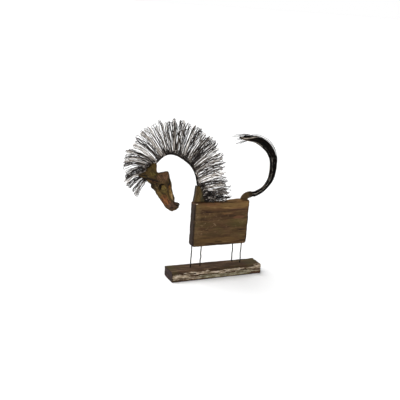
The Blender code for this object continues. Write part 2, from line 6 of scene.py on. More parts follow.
# %% Load the frame
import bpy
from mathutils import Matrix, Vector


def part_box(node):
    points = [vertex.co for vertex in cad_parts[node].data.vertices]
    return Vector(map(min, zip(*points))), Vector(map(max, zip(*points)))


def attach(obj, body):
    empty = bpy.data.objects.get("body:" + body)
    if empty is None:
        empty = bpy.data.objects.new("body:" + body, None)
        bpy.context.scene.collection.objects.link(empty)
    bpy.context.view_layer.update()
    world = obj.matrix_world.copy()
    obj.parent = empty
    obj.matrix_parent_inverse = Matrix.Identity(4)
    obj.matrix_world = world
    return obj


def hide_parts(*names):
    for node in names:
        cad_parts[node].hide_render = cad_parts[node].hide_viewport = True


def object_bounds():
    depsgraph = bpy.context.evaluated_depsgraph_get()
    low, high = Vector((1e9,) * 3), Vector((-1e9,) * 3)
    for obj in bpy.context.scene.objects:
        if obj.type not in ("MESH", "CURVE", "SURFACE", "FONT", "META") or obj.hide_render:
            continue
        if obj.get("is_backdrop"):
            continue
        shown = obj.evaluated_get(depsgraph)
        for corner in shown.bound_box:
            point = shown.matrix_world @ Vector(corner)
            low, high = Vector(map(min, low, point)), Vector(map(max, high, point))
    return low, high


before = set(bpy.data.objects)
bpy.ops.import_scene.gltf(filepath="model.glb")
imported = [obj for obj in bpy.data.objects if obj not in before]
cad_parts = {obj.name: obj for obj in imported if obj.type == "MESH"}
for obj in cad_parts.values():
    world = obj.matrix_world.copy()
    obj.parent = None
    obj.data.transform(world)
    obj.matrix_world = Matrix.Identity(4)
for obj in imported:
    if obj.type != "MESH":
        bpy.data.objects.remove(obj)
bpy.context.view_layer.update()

# %% [markdown]
# The other modules come with Blender. Noise from mathutils gives the same values in each run,
# so a worn edge stays where it is. Long tables hold whole numbers, such as thousandths of a
# length, which one function turns into the units of their columns.

# %% Modules and two helpers
from math import cos, pi, radians, sin, sqrt
import random

import bmesh
import bpy
from mathutils import Matrix, Vector, noise

collection = bpy.context.scene.collection


def scaled(rows, *parts):
    """Divides each column of a table by its number, and all that are left by the last one."""
    return [[number / part for number, part in zip(row, parts + parts[-1:] * len(row))]
            for row in rows]


def at(x, z, y=0.0):
    """A point, by its place along the horse, its height and its depth."""
    return Vector((x, y, z))


# %% [markdown]
# ## The camera
# The plank's edges in the picture give the camera: it stands to the horse's left and a little
# above, turned a few degrees on its own axis. It is placed by angles round a target point, so
# that each number says one thing. A long lens keeps the plank's edges nearly parallel.

# %% Camera
camera_turn, camera_height, camera_roll = radians(25.5), radians(15.6), radians(4.14)
camera_distance = 1.708
camera_target = at(-0.05246, 0.19984)

across = Vector((cos(camera_turn), -sin(camera_turn), 0))
back = Vector((-sin(camera_turn) * cos(camera_height), -cos(camera_turn) * cos(camera_height),
               sin(camera_height)))
above = back.cross(across)
right = across * cos(camera_roll) + above * sin(camera_roll)
up = above * cos(camera_roll) - across * sin(camera_roll)
camera = bpy.data.objects.new("camera", bpy.data.cameras.new("camera"))
camera.data.lens = 63.0
camera.matrix_world = Matrix((right, up, back)).transposed().to_4x4()
camera.matrix_world.translation = camera_target + back * camera_distance
collection.objects.link(camera)
bpy.context.scene.camera = camera
print("camera at", tuple(round(value, 3) for value in camera.matrix_world.translation))

# %% [markdown]
# ## Node trees written as Python
# Surfaces and wires both come from node trees. Wrapping a socket in a small class lets a tree
# read like arithmetic: `1 - mask` adds the Math node that works it out. Colours and vectors go
# to Vector Math, because a Math node would turn a colour grey.

# %% A socket that takes arithmetic
class Value:
    """One output of a node. Arithmetic on it adds the node that works it out."""

    def __init__(self, tree, socket):
        self.tree, self.socket = tree, socket

    def out(self, name):
        """Another output of the same node."""
        return Value(self.tree, pick(self.socket.node.outputs, name))


def operator(operation, swapped=False):
    """The method of an operator, or its reflected form."""
    def worked_out(value, other):
        pair = (other, value) if swapped else (value, other)
        return value.tree.maths(operation, *pair)
    return worked_out


for sign, operation in (("add", "ADD"), ("sub", "SUBTRACT"), ("mul", "MULTIPLY")):
    setattr(Value, "__%s__" % sign, operator(operation))
    setattr(Value, "__r%s__" % sign, operator(operation, swapped=True))
Value.__truediv__ = operator("DIVIDE")
Value.__pow__ = operator("POWER")


def pick(sockets, name):
    """The socket of that name, or number, that the node's settings leave in use."""
    if isinstance(name, int):
        return sockets[name]
    return next(socket for socket in sockets if socket.name == name and socket.enabled)


# %% A tree that adds nodes by one method
class Tree:
    """A node tree and the one method that fills it."""

    def __init__(self, graph):
        self.graph = graph

    def feed(self, socket, value):
        """Links a value into a socket, or sets the socket's own number."""
        if isinstance(value, Value):
            self.graph.links.new(value.socket, socket)
        elif socket.type == "RGBA" and len(value) == 3:
            socket.default_value = (*value, 1.0)
        elif socket.type == "VECTOR" and isinstance(value, (int, float)):
            socket.default_value = (value, value, value)
        else:
            socket.default_value = value

    def add(self, kind, *values, stops=(), **named):
        """Makes a node. Names in small letters are its settings, which are set first. Other
        names are its sockets, and values without a name go to its first sockets.
        """
        node = self.graph.nodes.new(kind)
        for name, value in named.items():
            if name.islower():
                setattr(node, name, value)
        if stops:
            ramp = node.color_ramp.elements
            ramp[0].position, ramp[-1].position = stops[0][0], stops[-1][0]
            for stop in stops[1:-1]:
                ramp.new(stop[0])
            for element, stop in zip(ramp, stops):
                element.color = (*stop[1:], 1.0)
        sockets = {name.replace("_", " "): value for name, value in named.items()
                   if not name.islower()}
        for name, value in {**dict(enumerate(values)), **sockets}.items():
            self.feed(pick(node.inputs, name), value)
        shown = [socket for socket in node.outputs if socket.enabled]
        return Value(self, shown[0]) if shown else node

    def maths(self, operation, *values):
        vectors = ("VECTOR", "RGBA")
        mixed = any(isinstance(v, Value) and v.socket.type in vectors for v in values)
        kind = "ShaderNodeVectorMath" if mixed else "ShaderNodeMath"
        return self.add(kind, *values, operation=operation)

    def rising(self, value, low, high):
        """0 below low, 1 above high, smooth between them."""
        return self.add("ShaderNodeMapRange", Value=value, From_Min=low, From_Max=high,
                        interpolation_type="SMOOTHSTEP")

    def noise(self, place, scale=1.0, detail=2.0, rough=0.5, bent=0.0):
        return self.add("ShaderNodeTexNoise", Vector=place, Scale=scale, Detail=detail,
                        Roughness=rough, Distortion=bent)

    def drift(self, place, scale=1.0, detail=1.0):
        """Noise as a vector that wanders round zero."""
        return self.noise(place, scale, detail).out("Color") - (0.5, 0.5, 0.5)

    def ramp(self, value, *stops):
        """A colour picked by a value. Each stop is a place and a colour, in thousandths."""
        return self.add("ShaderNodeValToRGB", Fac=value, stops=scaled(stops, 1000))

    def mix(self, first, second, share):
        return self.add("ShaderNodeMix", Factor=share, A=first, B=second, data_type="RGBA")

    def over(self, colour, *layers):
        """Lays colours over another: each in thousandths, with the share that it covers."""
        for *layer, cover in layers:
            colour = self.mix(colour, [number / 1000 for number in layer], cover)
        return colour

    def painted(self, name):
        """A number that the mesh's points carry by that name."""
        return self.add("ShaderNodeAttribute", attribute_name=name).out("Fac")

    def parts(self, vector):
        """The three numbers of a vector."""
        split = self.add("ShaderNodeSeparateXYZ", Vector=vector)
        return split, split.out("Y"), split.out("Z")

    def join(self, x, y, z):
        return self.add("ShaderNodeCombineXYZ", X=x, Y=y, Z=z)


# %% A surface and its shader
def surface(name, paint, **constants):
    """A material. Its paint function gets the tree and the object coordinates, and gives the
    colour, the roughness and mostly a relief: height from 0 to 1, depth and strength.
    """
    made = bpy.data.materials.new(name)
    made.use_nodes = True
    shader = made.node_tree.nodes["Principled BSDF"].inputs
    tree = Tree(made.node_tree)
    for socket, value in constants.items():
        tree.feed(shader[socket.replace("_", " ")], value)
    colour, roughness, *relief = paint(tree, tree.add("ShaderNodeTexCoord").out("Object"))
    tree.feed(shader["Base Color"], colour)
    tree.feed(shader["Roughness"], roughness)
    if relief:
        height, depth, strength = relief
        tree.feed(shader["Normal"], tree.add("ShaderNodeBump", Height=height, Distance=depth,
                                             Strength=strength))
    print(name, "has", len(made.node_tree.nodes), "nodes")
    return made


# %% [markdown]
# ## Old wood
# The plank, the board, the wedge under the neck and the tail's dock are all old timber that has
# lain outside and been waxed since. A texture photographed from wood would tie it to one
# picture. Here noise is stretched along the grain instead: broad bands for the growth rings,
# streaks for the early wood and hair-thin fibres for the relief. Ovals of other colours lie
# over it, with their rims broken by noise, so no hard border shows.

# %% Grain and stains
def grain(tree, here, along, streak, turn=0.0, swirl=0.010):
    """Growth bands, streaks and fibres of wood whose grain runs along X after a turn.

    The streak is the width of one band in metres, and along how many times longer it is.
    """
    turned = tree.add("ShaderNodeMapping", Vector=here, Rotation=(0, turn, 0))
    bent = turned + tree.drift(turned, 22.0, 2.0) * (0.0, swirl, swirl)
    squeeze = (1.0 / along, 1.0, 1.0)
    bands = tree.noise(bent * squeeze, 0.45 / streak, 3.0, 0.55)
    streaks = tree.noise(bent * squeeze, 1.6 / streak, 4.0, 0.65, 0.3)
    fibres = tree.noise(turned * (0.04, 1.0, 1.0), 2600.0, 2.0, 0.6)
    return bands, streaks, fibres


def tone_of(tree, layers, bands, streaks, fibres, less):
    """One tone from 0 to 1 from the grain's layers, by the weight of each."""
    total = layers[0] * bands + layers[1] * streaks + layers[2] * fibres
    return tree.add("ShaderNodeClamp", Value=total - less)


def oval(tree, x, z, zone, broken=0.0):
    """1 inside an oval, fading over its rim, which noise may break. The zone is its centre,
    its half size and its turn in degrees.
    """
    centre_x, centre_z, half_x, half_z, turn = zone
    c, s = cos(radians(turn)), sin(radians(turn))
    dx = ((x - centre_x) * c + (z - centre_z) * s) / half_x
    dz = ((z - centre_z) * c - (x - centre_x) * s) / half_z
    return 1 - tree.rising(dx * dx + dz * dz + broken, 0.35, 1.55)


def stained(tree, wood, x, z, zones, kept, broken):
    """Wood under ovals of colour, each with its cover and a share of the wood kept."""
    for *zone, red, green, blue, cover in zones:
        stain = tree.mix((red, green, blue), wood, kept)
        wood = tree.mix(wood, stain, oval(tree, x, z, zone, broken) * cover)
    return wood


# %% [markdown]
# The board has been handled and waxed: mid brown with an olive cast in the middle, redder near
# its ends, and darker along the edges. Its end faces are darker still, partly as end grain and
# partly as painted shade. A small pale fleck on the top of its head end is a painted highlight,
# and its cracks are painted near black as painted shade. Pale scratches wander where the wax has
# worn through. The mesh carries a named attribute for the worn edge, which places the wear
# without a painted map.

# %% The board's finish
board_low, board_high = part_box("body_board")
# Stains on the board's front: centre and half size in tenths of a millimetre, turn, colour in
# thousandths and cover in hundredths
board_stains = scaled((
    (500, 1900, 600, 120, 0, 188, 115, 42, 75), (520, 1730, 300, 22, 0, 21, 10, 7, 85),
    (220, 1645, 170, 22, 0, 173, 88, 38, 75), (520, 1530, 160, 42, 0, 150, 59, 35, 65),
    (-280, 1900, 300, 50, 0, 137, 64, 30, 55), (450, 1400, 260, 110, 0, 71, 56, 18, 60),
    (-620, 1500, 100, 480, 0, 123, 82, 37, 60), (0, 970, 700, 70, 0, 123, 70, 25, 65),
    (-100, 1300, 500, 260, 0, 66, 34, 18, 60), (560, 1185, 160, 14, 0, 16, 8, 5, 85),
    (550, 1060, 200, 80, 0, 105, 73, 29, 55)), 1e4, 1e4, 1e4, 1e4, 1, 1e3, 1e3, 1e3, 1e2)
# Patches of thin pale scratches, in millimetres
board_scratches = scaled(((-45, 145, 34, 32, 0), (8, 143, 36, 28, 0), (52, 138, 16, 12, 0)), 1e3)


def board_paint(tree, here):
    x, y, z = tree.parts(here)
    bands, streaks, fibres = layers = grain(tree, here, 15.0, 0.0052, swirl=0.007)
    wood = tree.ramp(tone_of(tree, layers, 1.2, 1.7, 0.6, 1.28), (100, 23, 11, 7),
                     (360, 55, 30, 13), (560, 82, 47, 20), (740, 112, 67, 29), (940, 182, 120, 58))
    broken = (tree.noise(here * (0.35, 1.0, 1.0), 130.0, 3.0, 0.6) - 0.5) * 2.2
    wood = stained(tree, wood, x, z, board_stains, 0.25, broken)
    olive = tree.noise(here * (0.4, 1.0, 1.0), 42.0, 3.0, 0.6)
    wood = tree.over(wood, (57, 46, 14, tree.rising(olive, 0.52, 0.66) * 0.35),
                     (64, 27, 16, tree.rising(1 - olive, 0.54, 0.68) * 0.35))
    pale_band = tree.rising(z, board_high.z - 0.030, board_high.z - 0.014)
    pale_band = pale_band * tree.rising(bands, 0.36, 0.58) * 0.75
    wood = tree.mix(wood, wood * (1.46, 1.36, 1.30), pale_band)
    # Thin winding scratches: the places where a noise passes its middle value
    worm = tree.maths("ABSOLUTE", tree.noise(here * (0.8, 1.0, 1.0), 95.0, 1.0, bent=0.8) - 0.5)
    scratched = 0.0
    for zone in board_scratches:
        scratched = tree.maths("MAXIMUM", oval(tree, x, z, zone), scratched)
    thin = (1 - tree.rising(worm, 0.010, 0.030)) * tree.rising(tree.noise(here, 60.0), 0.42, 0.56)
    # End grain drinks in wax and dirt, and both ends are darkened further as painted shade
    end = tree.maths("MAXIMUM", 1 - tree.rising(x, board_low.x + 0.0015, board_low.x + 0.0060),
                     tree.rising(x, board_high.x - 0.0050, board_high.x - 0.0012))
    top = tree.rising(z, board_high.z - 0.0065, board_high.z - 0.0030)
    edge = tree.painted("edge")
    edge_dark_noise = tree.rising(tree.noise(here, 60.0, 3.0), 0.30, 0.58)
    wear = tree.noise(here * (0.5, 1.0, 1.0), 85.0, 2.0)
    rubbed = tree.rising(edge, 0.80, 0.98) * tree.rising(wear, 0.56, 0.63)
    # A small pale fleck at the top of the head end is a painted highlight
    painted_highlight = oval(tree, x, z, (-0.0650, board_high.z - 0.0030, 0.0030, 0.0009, 0), broken * 0.3)
    painted_highlight = painted_highlight * (1 - tree.rising(y, board_low.y + 0.002, board_low.y + 0.004))
    # Of these layers, the near-black in the cracks is painted shade
    wood = tree.over(wood, (210, 138, 80, thin * scratched * 0.55), (16, 11, 10, end * 0.90),
                     (92, 42, 18, top * 0.50),
                     (11, 6, 3, tree.rising(edge, 0.10, 0.80) * edge_dark_noise * 0.80),
                     (264, 163, 77, rubbed * 0.75), (560, 470, 330, painted_highlight),
                     (6, 4, 2, tree.rising(tree.painted("dent"), 0.10, 0.60)))
    return (wood, 0.62 + fibres * 0.25 - rubbed * 0.1, streaks * 0.5 + fibres * 0.5, 0.0007, 0.55)


board_wood = surface("waxed_board", board_paint, Specular_IOR_Level=0.07)

# %% [markdown]
# The plank is rougher: it was painted once. The paint on its front has weathered to strips of
# cream and grey-green with bare dark wood between them. Paint breaks off along the grain, so each
# strip is a stroke along the plank. The strokes are kept on the mesh's points as two named
# attributes, how much paint there is and how green it is, and the material breaks their borders
# into flakes with noise that is finer than the mesh.

# %% Strips of old paint on the plank
plank_low, plank_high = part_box("base_plank")
paint_depth = 0.0085
# Both ends of each strip along the plank and up its front and its half height, in tenths of a
# millimetre, and how green it is in hundredths
paint_strips = scaled((
    (-1190, 140, -830, 115, 86, 15), (-810, 85, -530, 75, 34, 25),
    (-900, 232, -600, 226, 16, 0), (-600, 226, -300, 232, 13, 5), (-560, 182, 80, 170, 18, 5),
    (-500, 85, 80, 68, 30, 95), (-780, 160, -600, 158, 9, 30), (100, 70, 860, 68, 26, 75),
    (90, 132, 300, 150, 16, 30), (230, 215, 330, 212, 14, 10), (300, 165, 560, 158, 17, 15),
    (420, 218, 560, 212, 15, 10), (520, 172, 680, 200, 22, 20), (560, 132, 900, 125, 15, 60),
    (880, 182, 1130, 196, 20, 5), (1080, 195, 1220, 205, 38, 5), (900, 100, 1180, 90, 12, 50)),
    1e4, 1e4, 1e4, 1e4, 1e4, 1e2)


def strip_paint(point):
    """How much paint is left at a place on the plank, and how green it is."""
    best, green = 0.0, 0.0
    if point.y > plank_low.y + paint_depth:
        return best, green
    for ax, az, bx, bz, half, tint in paint_strips:
        share = (point.x - ax) / (bx - ax)
        past = max(0.0, -share, share - 1) * (bx - ax) / 0.006
        level = az + (bz - az) * min(1.0, max(0.0, share))
        amount = max(0.0, 1 - sqrt(((point.z - level) / half) ** 2 + past ** 2) * 0.5)
        if amount > best:
            best, green = amount, tint
    return best, green


# %% The plank's finish
def plank_paint(tree, here):
    x = tree.parts(here)[0]
    layers = grain(tree, here, 16.0, 0.0030, swirl=0.004)
    streaks, fibres = layers[1:]
    wood = tree.ramp(tone_of(tree, layers, 1.4, 1.8, 0.3, 1.25), (80, 14, 7, 5),
                     (400, 42, 23, 13), (620, 72, 42, 23), (900, 150, 96, 56))
    olive = tree.noise(here, 16.0, 2.0) - tree.rising(x, -0.10, 0.06) * 0.10
    red = tree.noise(here * (0.4, 1.0, 1.0), 30.0, 2.0)
    wood = tree.over(wood, (50, 43, 16, tree.rising(olive, 0.40, 0.56) * 0.55),
                     (58, 24, 17, tree.rising(red, 0.52, 0.66) * 0.5))
    # Both ends are painted dark in strips: partly end grain that has soaked up dirt as it was
    # sawn, partly painted shade
    left = 1 - tree.rising(x, plank_low.x + 0.0006, plank_low.x + 0.0020)
    right_end = tree.rising(x, plank_high.x - 0.0016, plank_high.x - 0.0006)
    end_grain_and_shade = tree.ramp(tree.noise(here * (1.0, 0.12, 1.0), 420.0, 3.0, 0.6), (300, 8, 5, 5),
                     (550, 24, 14, 12), (750, 56, 34, 28))
    wood = tree.mix(wood, end_grain_and_shade, tree.maths("MAXIMUM", left, right_end))
    wood = tree.over(wood, (12, 7, 6, tree.rising(tree.painted("edge"), 0.15, 0.85) * 0.6))
    # Paint: the strips, broken into flakes along the grain
    stroke = tree.painted("paint")
    flakes = tree.noise(here * (0.17, 1.0, 1.0), 520.0, 4.0, 0.65, 0.5)
    crumbs = tree.noise(here * (0.35, 1.0, 1.0), 900.0, 2.0, 0.6)
    more = 0.27 - tree.rising(x, -0.02, -0.09) * 0.33
    paint = tree.rising(stroke + (flakes - 0.5) * 1.6 + (crumbs - 0.5) * 0.7 + more, 0.52, 0.62)
    paint = paint * tree.rising(stroke, 0.02, 0.12) * (1 - left)
    dirt = tree.noise(here * (0.3, 1.0, 1.0), 260.0, 3.0, 0.6)
    cream = tree.ramp(dirt, (340, 130, 88, 52), (460, 250, 190, 125), (580, 430, 345, 250),
                      (720, 640, 550, 440))
    moss = tree.ramp(dirt, (360, 105, 90, 50), (500, 215, 188, 118), (640, 370, 330, 235))
    green = tree.rising(tree.painted("green") + (dirt - 0.5) * 0.8, 0.25, 0.75)
    wood = tree.mix(wood, tree.mix(cream, moss, green), paint)
    # The cracks are painted near black: painted shade
    wood = tree.over(wood, (7, 5, 4, tree.rising(tree.painted("dent"), 0.15, 0.65)))
    relief = streaks * 0.5 + fibres * 0.35 + paint * 0.9
    return wood, 0.70 + fibres * 0.2 - paint * 0.15, relief, 0.0009, 0.6


plank_wood = surface("painted_plank", plank_paint, Specular_IOR_Level=0.10)

# %% [markdown]
# The wedge and the dock are cut from a yellower piece. The wedge's back half is mottled
# grey-green, its leaning end has painted shade on its far half, and the dock darkens to black
# where the tail goes in.

# %% The finish of the wedge and the dock
stub_low, stub_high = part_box("neck_stub")
dock_low, dock_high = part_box("tail_dock")
wedge_lean = 0.0045


def stub_paint(tree, here):
    x, y, z = tree.parts(here)
    layers = grain(tree, here, 8.0, 0.0026, turn=radians(80))
    streaks, fibres = layers[1:]
    wood = tree.ramp(tone_of(tree, layers, 1.4, 1.7, 0.3, 1.20), (100, 16, 9, 3),
                     (380, 53, 30, 7), (600, 87, 52, 14), (900, 143, 96, 34))
    middle = (stub_low.x + stub_high.x) / 2
    grey_green_back = tree.rising(x, middle - 0.010, middle + 0.001) * (1 - tree.rising(x, 0.02, 0.03))
    mottle = tree.rising(tree.noise(here, 260.0, 3.0), 0.40, 0.60)
    # The wedge's leaning end has painted shade on its far half
    lean = wedge_lean / (stub_high.z - stub_low.z)
    past_end = x - stub_low.x - (z - stub_low.z) * lean
    end_shade = (1 - tree.rising(past_end, 0.0006, 0.0034)) * tree.rising(y, -0.0055, -0.0015)
    black = tree.rising(x, dock_low.x + 0.012, dock_high.x - 0.006)
    brown = tree.rising(x, dock_low.x - 0.010, dock_low.x)
    wood = tree.over(wood, (31, 31, 16, grey_green_back * (0.45 + mottle * 0.45)), (13, 8, 5, end_shade),
                     (10, 6, 4, black * 0.85), (38, 21, 8, brown * (1 - black) * 0.75),
                     (14, 8, 4, tree.rising(tree.painted("edge"), 0.2, 0.9) * 0.6))
    return wood, 0.52 + fibres * 0.25, streaks * 0.5 + fibres * 0.5, 0.0006, 0.6


stub_wood = surface("yellow_stub", stub_paint, Specular_IOR_Level=0.12)

# %% [markdown]
# ## Weathered timber as a mesh
# Weather rounds a plank's edges unevenly, lifts the hard bands of the grain and opens cracks. A
# bevelled box would have the same edge all round. So the faces are laid out as a fine lattice,
# and each of its points is pulled in: near an edge by a radius that noise varies, and anywhere
# else by the grain. It stays inside the solid's box, because points only move inwards.

# %% Lattice of a weathered stick
def spaced(low, high, step, fine):
    """Places along one side, close together near both ends."""
    ends = [fine * share for share in (0.0, 0.18, 0.42, 0.72, 1.0)]
    count = max(2, round((high - low - 2 * fine) / step))
    middle = [low + fine + (high - low - 2 * fine) * index / count for index in range(1, count)]
    return [low + end for end in ends] + middle + [high - end for end in reversed(ends)]


def lattice(places):
    """The six faces of a box as quads that share their edges."""
    builder = bmesh.new()
    made = {}

    def corner(key):
        if key not in made:
            made[key] = builder.verts.new([places[axis][key[axis]] for axis in range(3)])
        return made[key]

    for axis in range(3):
        first, second = (axis + 1) % 3, (axis + 2) % 3
        for side in (0, len(places[axis]) - 1):
            for a in range(len(places[first]) - 1):
                for b in range(len(places[second]) - 1):
                    keys = []
                    for da, db in ((0, 0), (1, 0), (1, 1), (0, 1)):
                        key = [0, 0, 0]
                        key[axis], key[first], key[second] = side, a + da, b + db
                        keys.append(tuple(key))
                    ring = keys if side else keys[::-1]
                    builder.faces.new([corner(key) for key in ring])
    return builder


def weathered(point, low, high, edge, wear, relief, shift):
    """Pulls a point of the box in, and says how much of it is worn edge."""
    rough = noise.fractal(point * 55 + shift, 0.9, 2.0, 3)
    radius = edge + wear * max(0.0, rough + 0.25)
    inner = Vector([min(max(value, l + radius), h - radius)
                    for value, l, h in zip(point, low, high)])
    nearest = sorted(min(value - l, h - value) for value, l, h in zip(point, low, high))
    worn = 1 - min(1.0, nearest[1] / (radius * 1.25))
    stretched = Vector((point.x * 28, point.y * 330, point.z * 330))
    fibre = noise.fractal(stretched + shift, 0.8, 2.0, 3)
    swell = noise.noise(Vector((point.x * 14, point.y * 60, point.z * 60)) - shift)
    depth = relief * (0.55 * max(0.0, fibre) + 0.45 * (0.5 + 0.5 * swell))
    return inner + (point - inner).normalized() * (radius - depth), worn


def mesh_of(name, builder, values=None):
    """A mesh from its builder, with named numbers on its points."""
    mesh = bpy.data.meshes.new(name)
    builder.to_mesh(mesh)
    builder.free()
    add_numbers(mesh, values or {})
    return mesh


def add_numbers(mesh, values):
    """Keeps lists of numbers on a mesh's points, each under its name."""
    for label, numbers in values.items():
        mesh.attributes.new(label, "FLOAT", "POINT").data.foreach_set("value", numbers)


def piece(name, mesh, finish, smooth=40.0):
    """Puts a mesh in the scene with its finish, smooth where it bends gently."""
    made = bpy.data.objects.new(name, mesh)
    collection.objects.link(made)
    mesh.materials.clear()
    mesh.materials.append(finish)
    mesh.shade_smooth()
    if smooth:
        mesh.set_sharp_from_angle(angle=radians(smooth))
    return made


def worked(target, kind, **settings):
    """Applies one modifier to an object."""
    step = target.modifiers.new(kind, kind)
    for name, value in settings.items():
        setattr(step, name, value)
    applied(target)


def applied(target):
    """Turns an object with its modifiers into a plain mesh."""
    depsgraph = bpy.context.evaluated_depsgraph_get()
    mesh = bpy.data.meshes.new_from_object(target.evaluated_get(depsgraph), depsgraph=depsgraph)
    target.modifiers.clear()
    target.data = mesh
    mesh.name = target.name
    print(target.name, "has", len(mesh.polygons), "faces")


def drilled(target, holes, radius):
    """Drills a round hole along each line, for the wire that stands in it."""
    cutter = bmesh.new()
    for start, end in holes:
        drill = bmesh.ops.create_cone(cutter, cap_ends=True, segments=14, radius1=radius,
                                      radius2=radius, depth=(end - start).length)
        turn = (end - start).to_track_quat("Z", "Y").to_matrix().to_4x4()
        bmesh.ops.transform(cutter, matrix=Matrix.Translation((start + end) / 2) @ turn,
                            verts=drill["verts"])
    tool = bpy.data.objects.new("drills", mesh_of("drills", cutter))
    collection.objects.link(tool)
    worked(target, "BOOLEAN", operation="DIFFERENCE", object=tool)
    bpy.data.objects.remove(tool)


crack_depth, paint_relief = 0.0012, 0.0004


def timber(name, low, high, steps, edge, wear, relief, seed, finish, shape, dents=(), paint=None):
    """A stick of old wood: lattice, worn edges, raised grain, cracks and what paint is left."""
    fine = edge + wear * 0.6
    builder = lattice([spaced(l, h, step, min(fine, (h - l) * 0.2))
                       for l, h, step in zip(low, high, steps)])
    shift = Vector((seed * 3.7, seed * 1.3, seed * 2.1))
    values = {"edge": [], "dent": [], "paint": [], "green": []}
    for vert in builder.verts:
        point, worn = weathered(vert.co.copy(), low, high, edge, wear, relief, shift)
        mark = max([0.0] + [crack(point) for crack in dents])
        amount, green = paint(point) if paint else (0.0, 0.0)
        sunk = mark * crack_depth - min(amount, 0.5) * paint_relief
        sunk += paint_relief / 2 if paint else 0.0
        point.y += -sunk if point.y > 0 else sunk
        vert.co = shape(point)
        for numbers, value in zip(values.values(), (worn, mark, amount, green)):
            numbers.append(value)
    return piece(name, mesh_of(name, builder, values), finish)


def crack_along(x_low, x_high, level, wander, width, side):
    """A crack along the grain on one face, strongest in its middle."""
    def mark(point):
        share = (point.x - x_low) / (x_high - x_low)
        if not 0 < share < 1 or point.y * side < 0:
            return 0.0
        line = level + wander * noise.noise(Vector((point.x * 60, level * 90, 0)))
        reach = width * sin(pi * share) ** 0.5
        return max(0.0, 1 - abs(point.z - line) / max(reach, 1e-6))
    return mark


# %% [markdown]
# ## The leg wires
# Four straight steel wires carry the board. They were straightened by hand, so each still has a
# few soft kinks. A Geometry Nodes tree takes a polyline for each wire, resamples it, lets noise
# push it aside and sweeps a round section along it. The drilled holes take their place from the
# same wires.

# %% A tree with named inputs
def new_maker(name, **defaults):
    """A Geometry Nodes tree with its guide and its named inputs, whole numbers or not."""
    graph = bpy.data.node_groups.new(name, "GeometryNodeTree")
    tree = Tree(graph)
    for side in ("INPUT", "OUTPUT"):
        graph.interface.new_socket("Geometry", in_out=side,
                                   socket_type="NodeSocketGeometry")
    start = graph.nodes.new("NodeGroupInput")
    tree.end = graph.nodes.new("NodeGroupOutput")
    for label, value in {**defaults, "finish": None}.items():
        kind = {int: "Int", float: "Float"}.get(type(value), "Material")
        socket = graph.interface.new_socket(label, in_out="INPUT",
                                            socket_type="NodeSocket" + kind)
        if value is not None:
            socket.default_value = value
    entries = [Value(tree, socket) for socket in start.outputs[:-1]]
    tree.finish = entries.pop()
    return [tree] + entries


def swept(tree, lines, radius, sides, caps=False):
    """The tree's result: a round section swept along the lines, with its finish."""
    ring = tree.add("GeometryNodeCurvePrimitiveCircle", Resolution=sides, Radius=radius)
    tube = tree.add("GeometryNodeCurveToMesh", Curve=lines, Profile_Curve=ring, Fill_Caps=caps)
    smooth = tree.add("GeometryNodeSetShadeSmooth", Geometry=tube, Shade_Smooth=True)
    done = tree.add("GeometryNodeSetMaterial", Geometry=smooth, Material=tree.finish)
    tree.feed(tree.end.inputs["Geometry"], done)
    return tree


def resampled(tree, guide, **how):
    """The guide as a curve of even steps, by their length or their count."""
    line = tree.add("GeometryNodeMeshToCurve", Mesh=guide)
    return tree.add("GeometryNodeResampleCurve", Curve=line, mode=next(iter(how)).upper(),
                    **{name.title(): value for name, value in how.items()})


def moved(tree, geometry, **how):
    return tree.add("GeometryNodeSetPosition", Geometry=geometry, **how)


def attribute(tree, name, kind="FLOAT"):
    return tree.add("GeometryNodeInputNamedAttribute", Name=name, data_type=kind)


def store(tree, geometry, name, value):
    """Keeps a value on each point under a name."""
    kind = "FLOAT_VECTOR" if value.socket.type == "VECTOR" else "FLOAT"
    return tree.add("GeometryNodeStoreNamedAttribute", Geometry=geometry, Name=name, Value=value,
                    data_type=kind)


def chance(tree, low, high, number, seed):
    """A random number for each point, from its number."""
    return tree.add("FunctionNodeRandomValue", Min=low, Max=high, ID=number, Seed=seed,
                    data_type="FLOAT")


def round_line(tree, turn, reach, depth=1.0):
    """A push off a line, from an angle round it, a distance and how flat the circle is."""
    along = tree.add("GeometryNodeInputTangent")
    flat = tree.maths("NORMALIZE", tree.maths("CROSS_PRODUCT", along, (0.0, 1.0, 0.0)))
    return (flat * (tree.maths("COSINE", turn) * reach)
            + tree.join(0.0, tree.maths("SINE", turn) * reach * depth, 0.0))


def run_maker(name, tree, guide, **inputs):
    """Runs a tree on a guide mesh and keeps its result as a plain mesh."""
    made = bpy.data.objects.new(name, guide)
    collection.objects.link(made)
    step = made.modifiers.new("make", "NODES")
    step.node_group = tree.graph
    for item in tree.graph.interface.items_tree:
        if item.name in inputs:
            step[item.identifier] = inputs[item.name]
    applied(made)
    return made


def polyline(name, lines, **values):
    """A guide mesh of open lines, with named numbers on its points."""
    mesh = bpy.data.meshes.new(name)
    points, links = [], []
    for line in lines:
        links += [(len(points) + index, len(points) + index + 1) for index in range(len(line) - 1)]
        points += line
    mesh.from_pydata(points, links, [])
    add_numbers(mesh, values)
    return mesh


# %% Tree for a hand-straightened wire
def bent_wire_maker():
    tree, guide, radius, spacing, kink, seed = new_maker(
        "bent wire", radius=0.001, spacing=0.004, kink=0.0, seed=1.0)
    line = resampled(tree, guide, length=spacing)
    here = tree.add("GeometryNodeInputPosition")
    along = tree.add("GeometryNodeSplineParameter")
    held = along * (1 - along) * 4.0
    push = tree.drift(here + tree.join(seed, seed, seed), 75.0) * (held * kink * 2.0)
    return swept(tree, moved(tree, line, Offset=push), radius, 10, True)


bent_wire = bent_wire_maker()


def wires(name, lines, radius, spacing, finish, kink=0.0, seed=1.0, **values):
    """Bent wires along some lines."""
    return run_maker(name, bent_wire, polyline(name + "_line", lines, **values), radius=radius,
                     spacing=spacing, kink=kink, seed=seed, finish=finish)


# %% [markdown]
# Annealed wire is dark grey with a dull scale. It has rust where it stands in the damp wood,
# and bare bright steel where a hand or a plier has rubbed it.

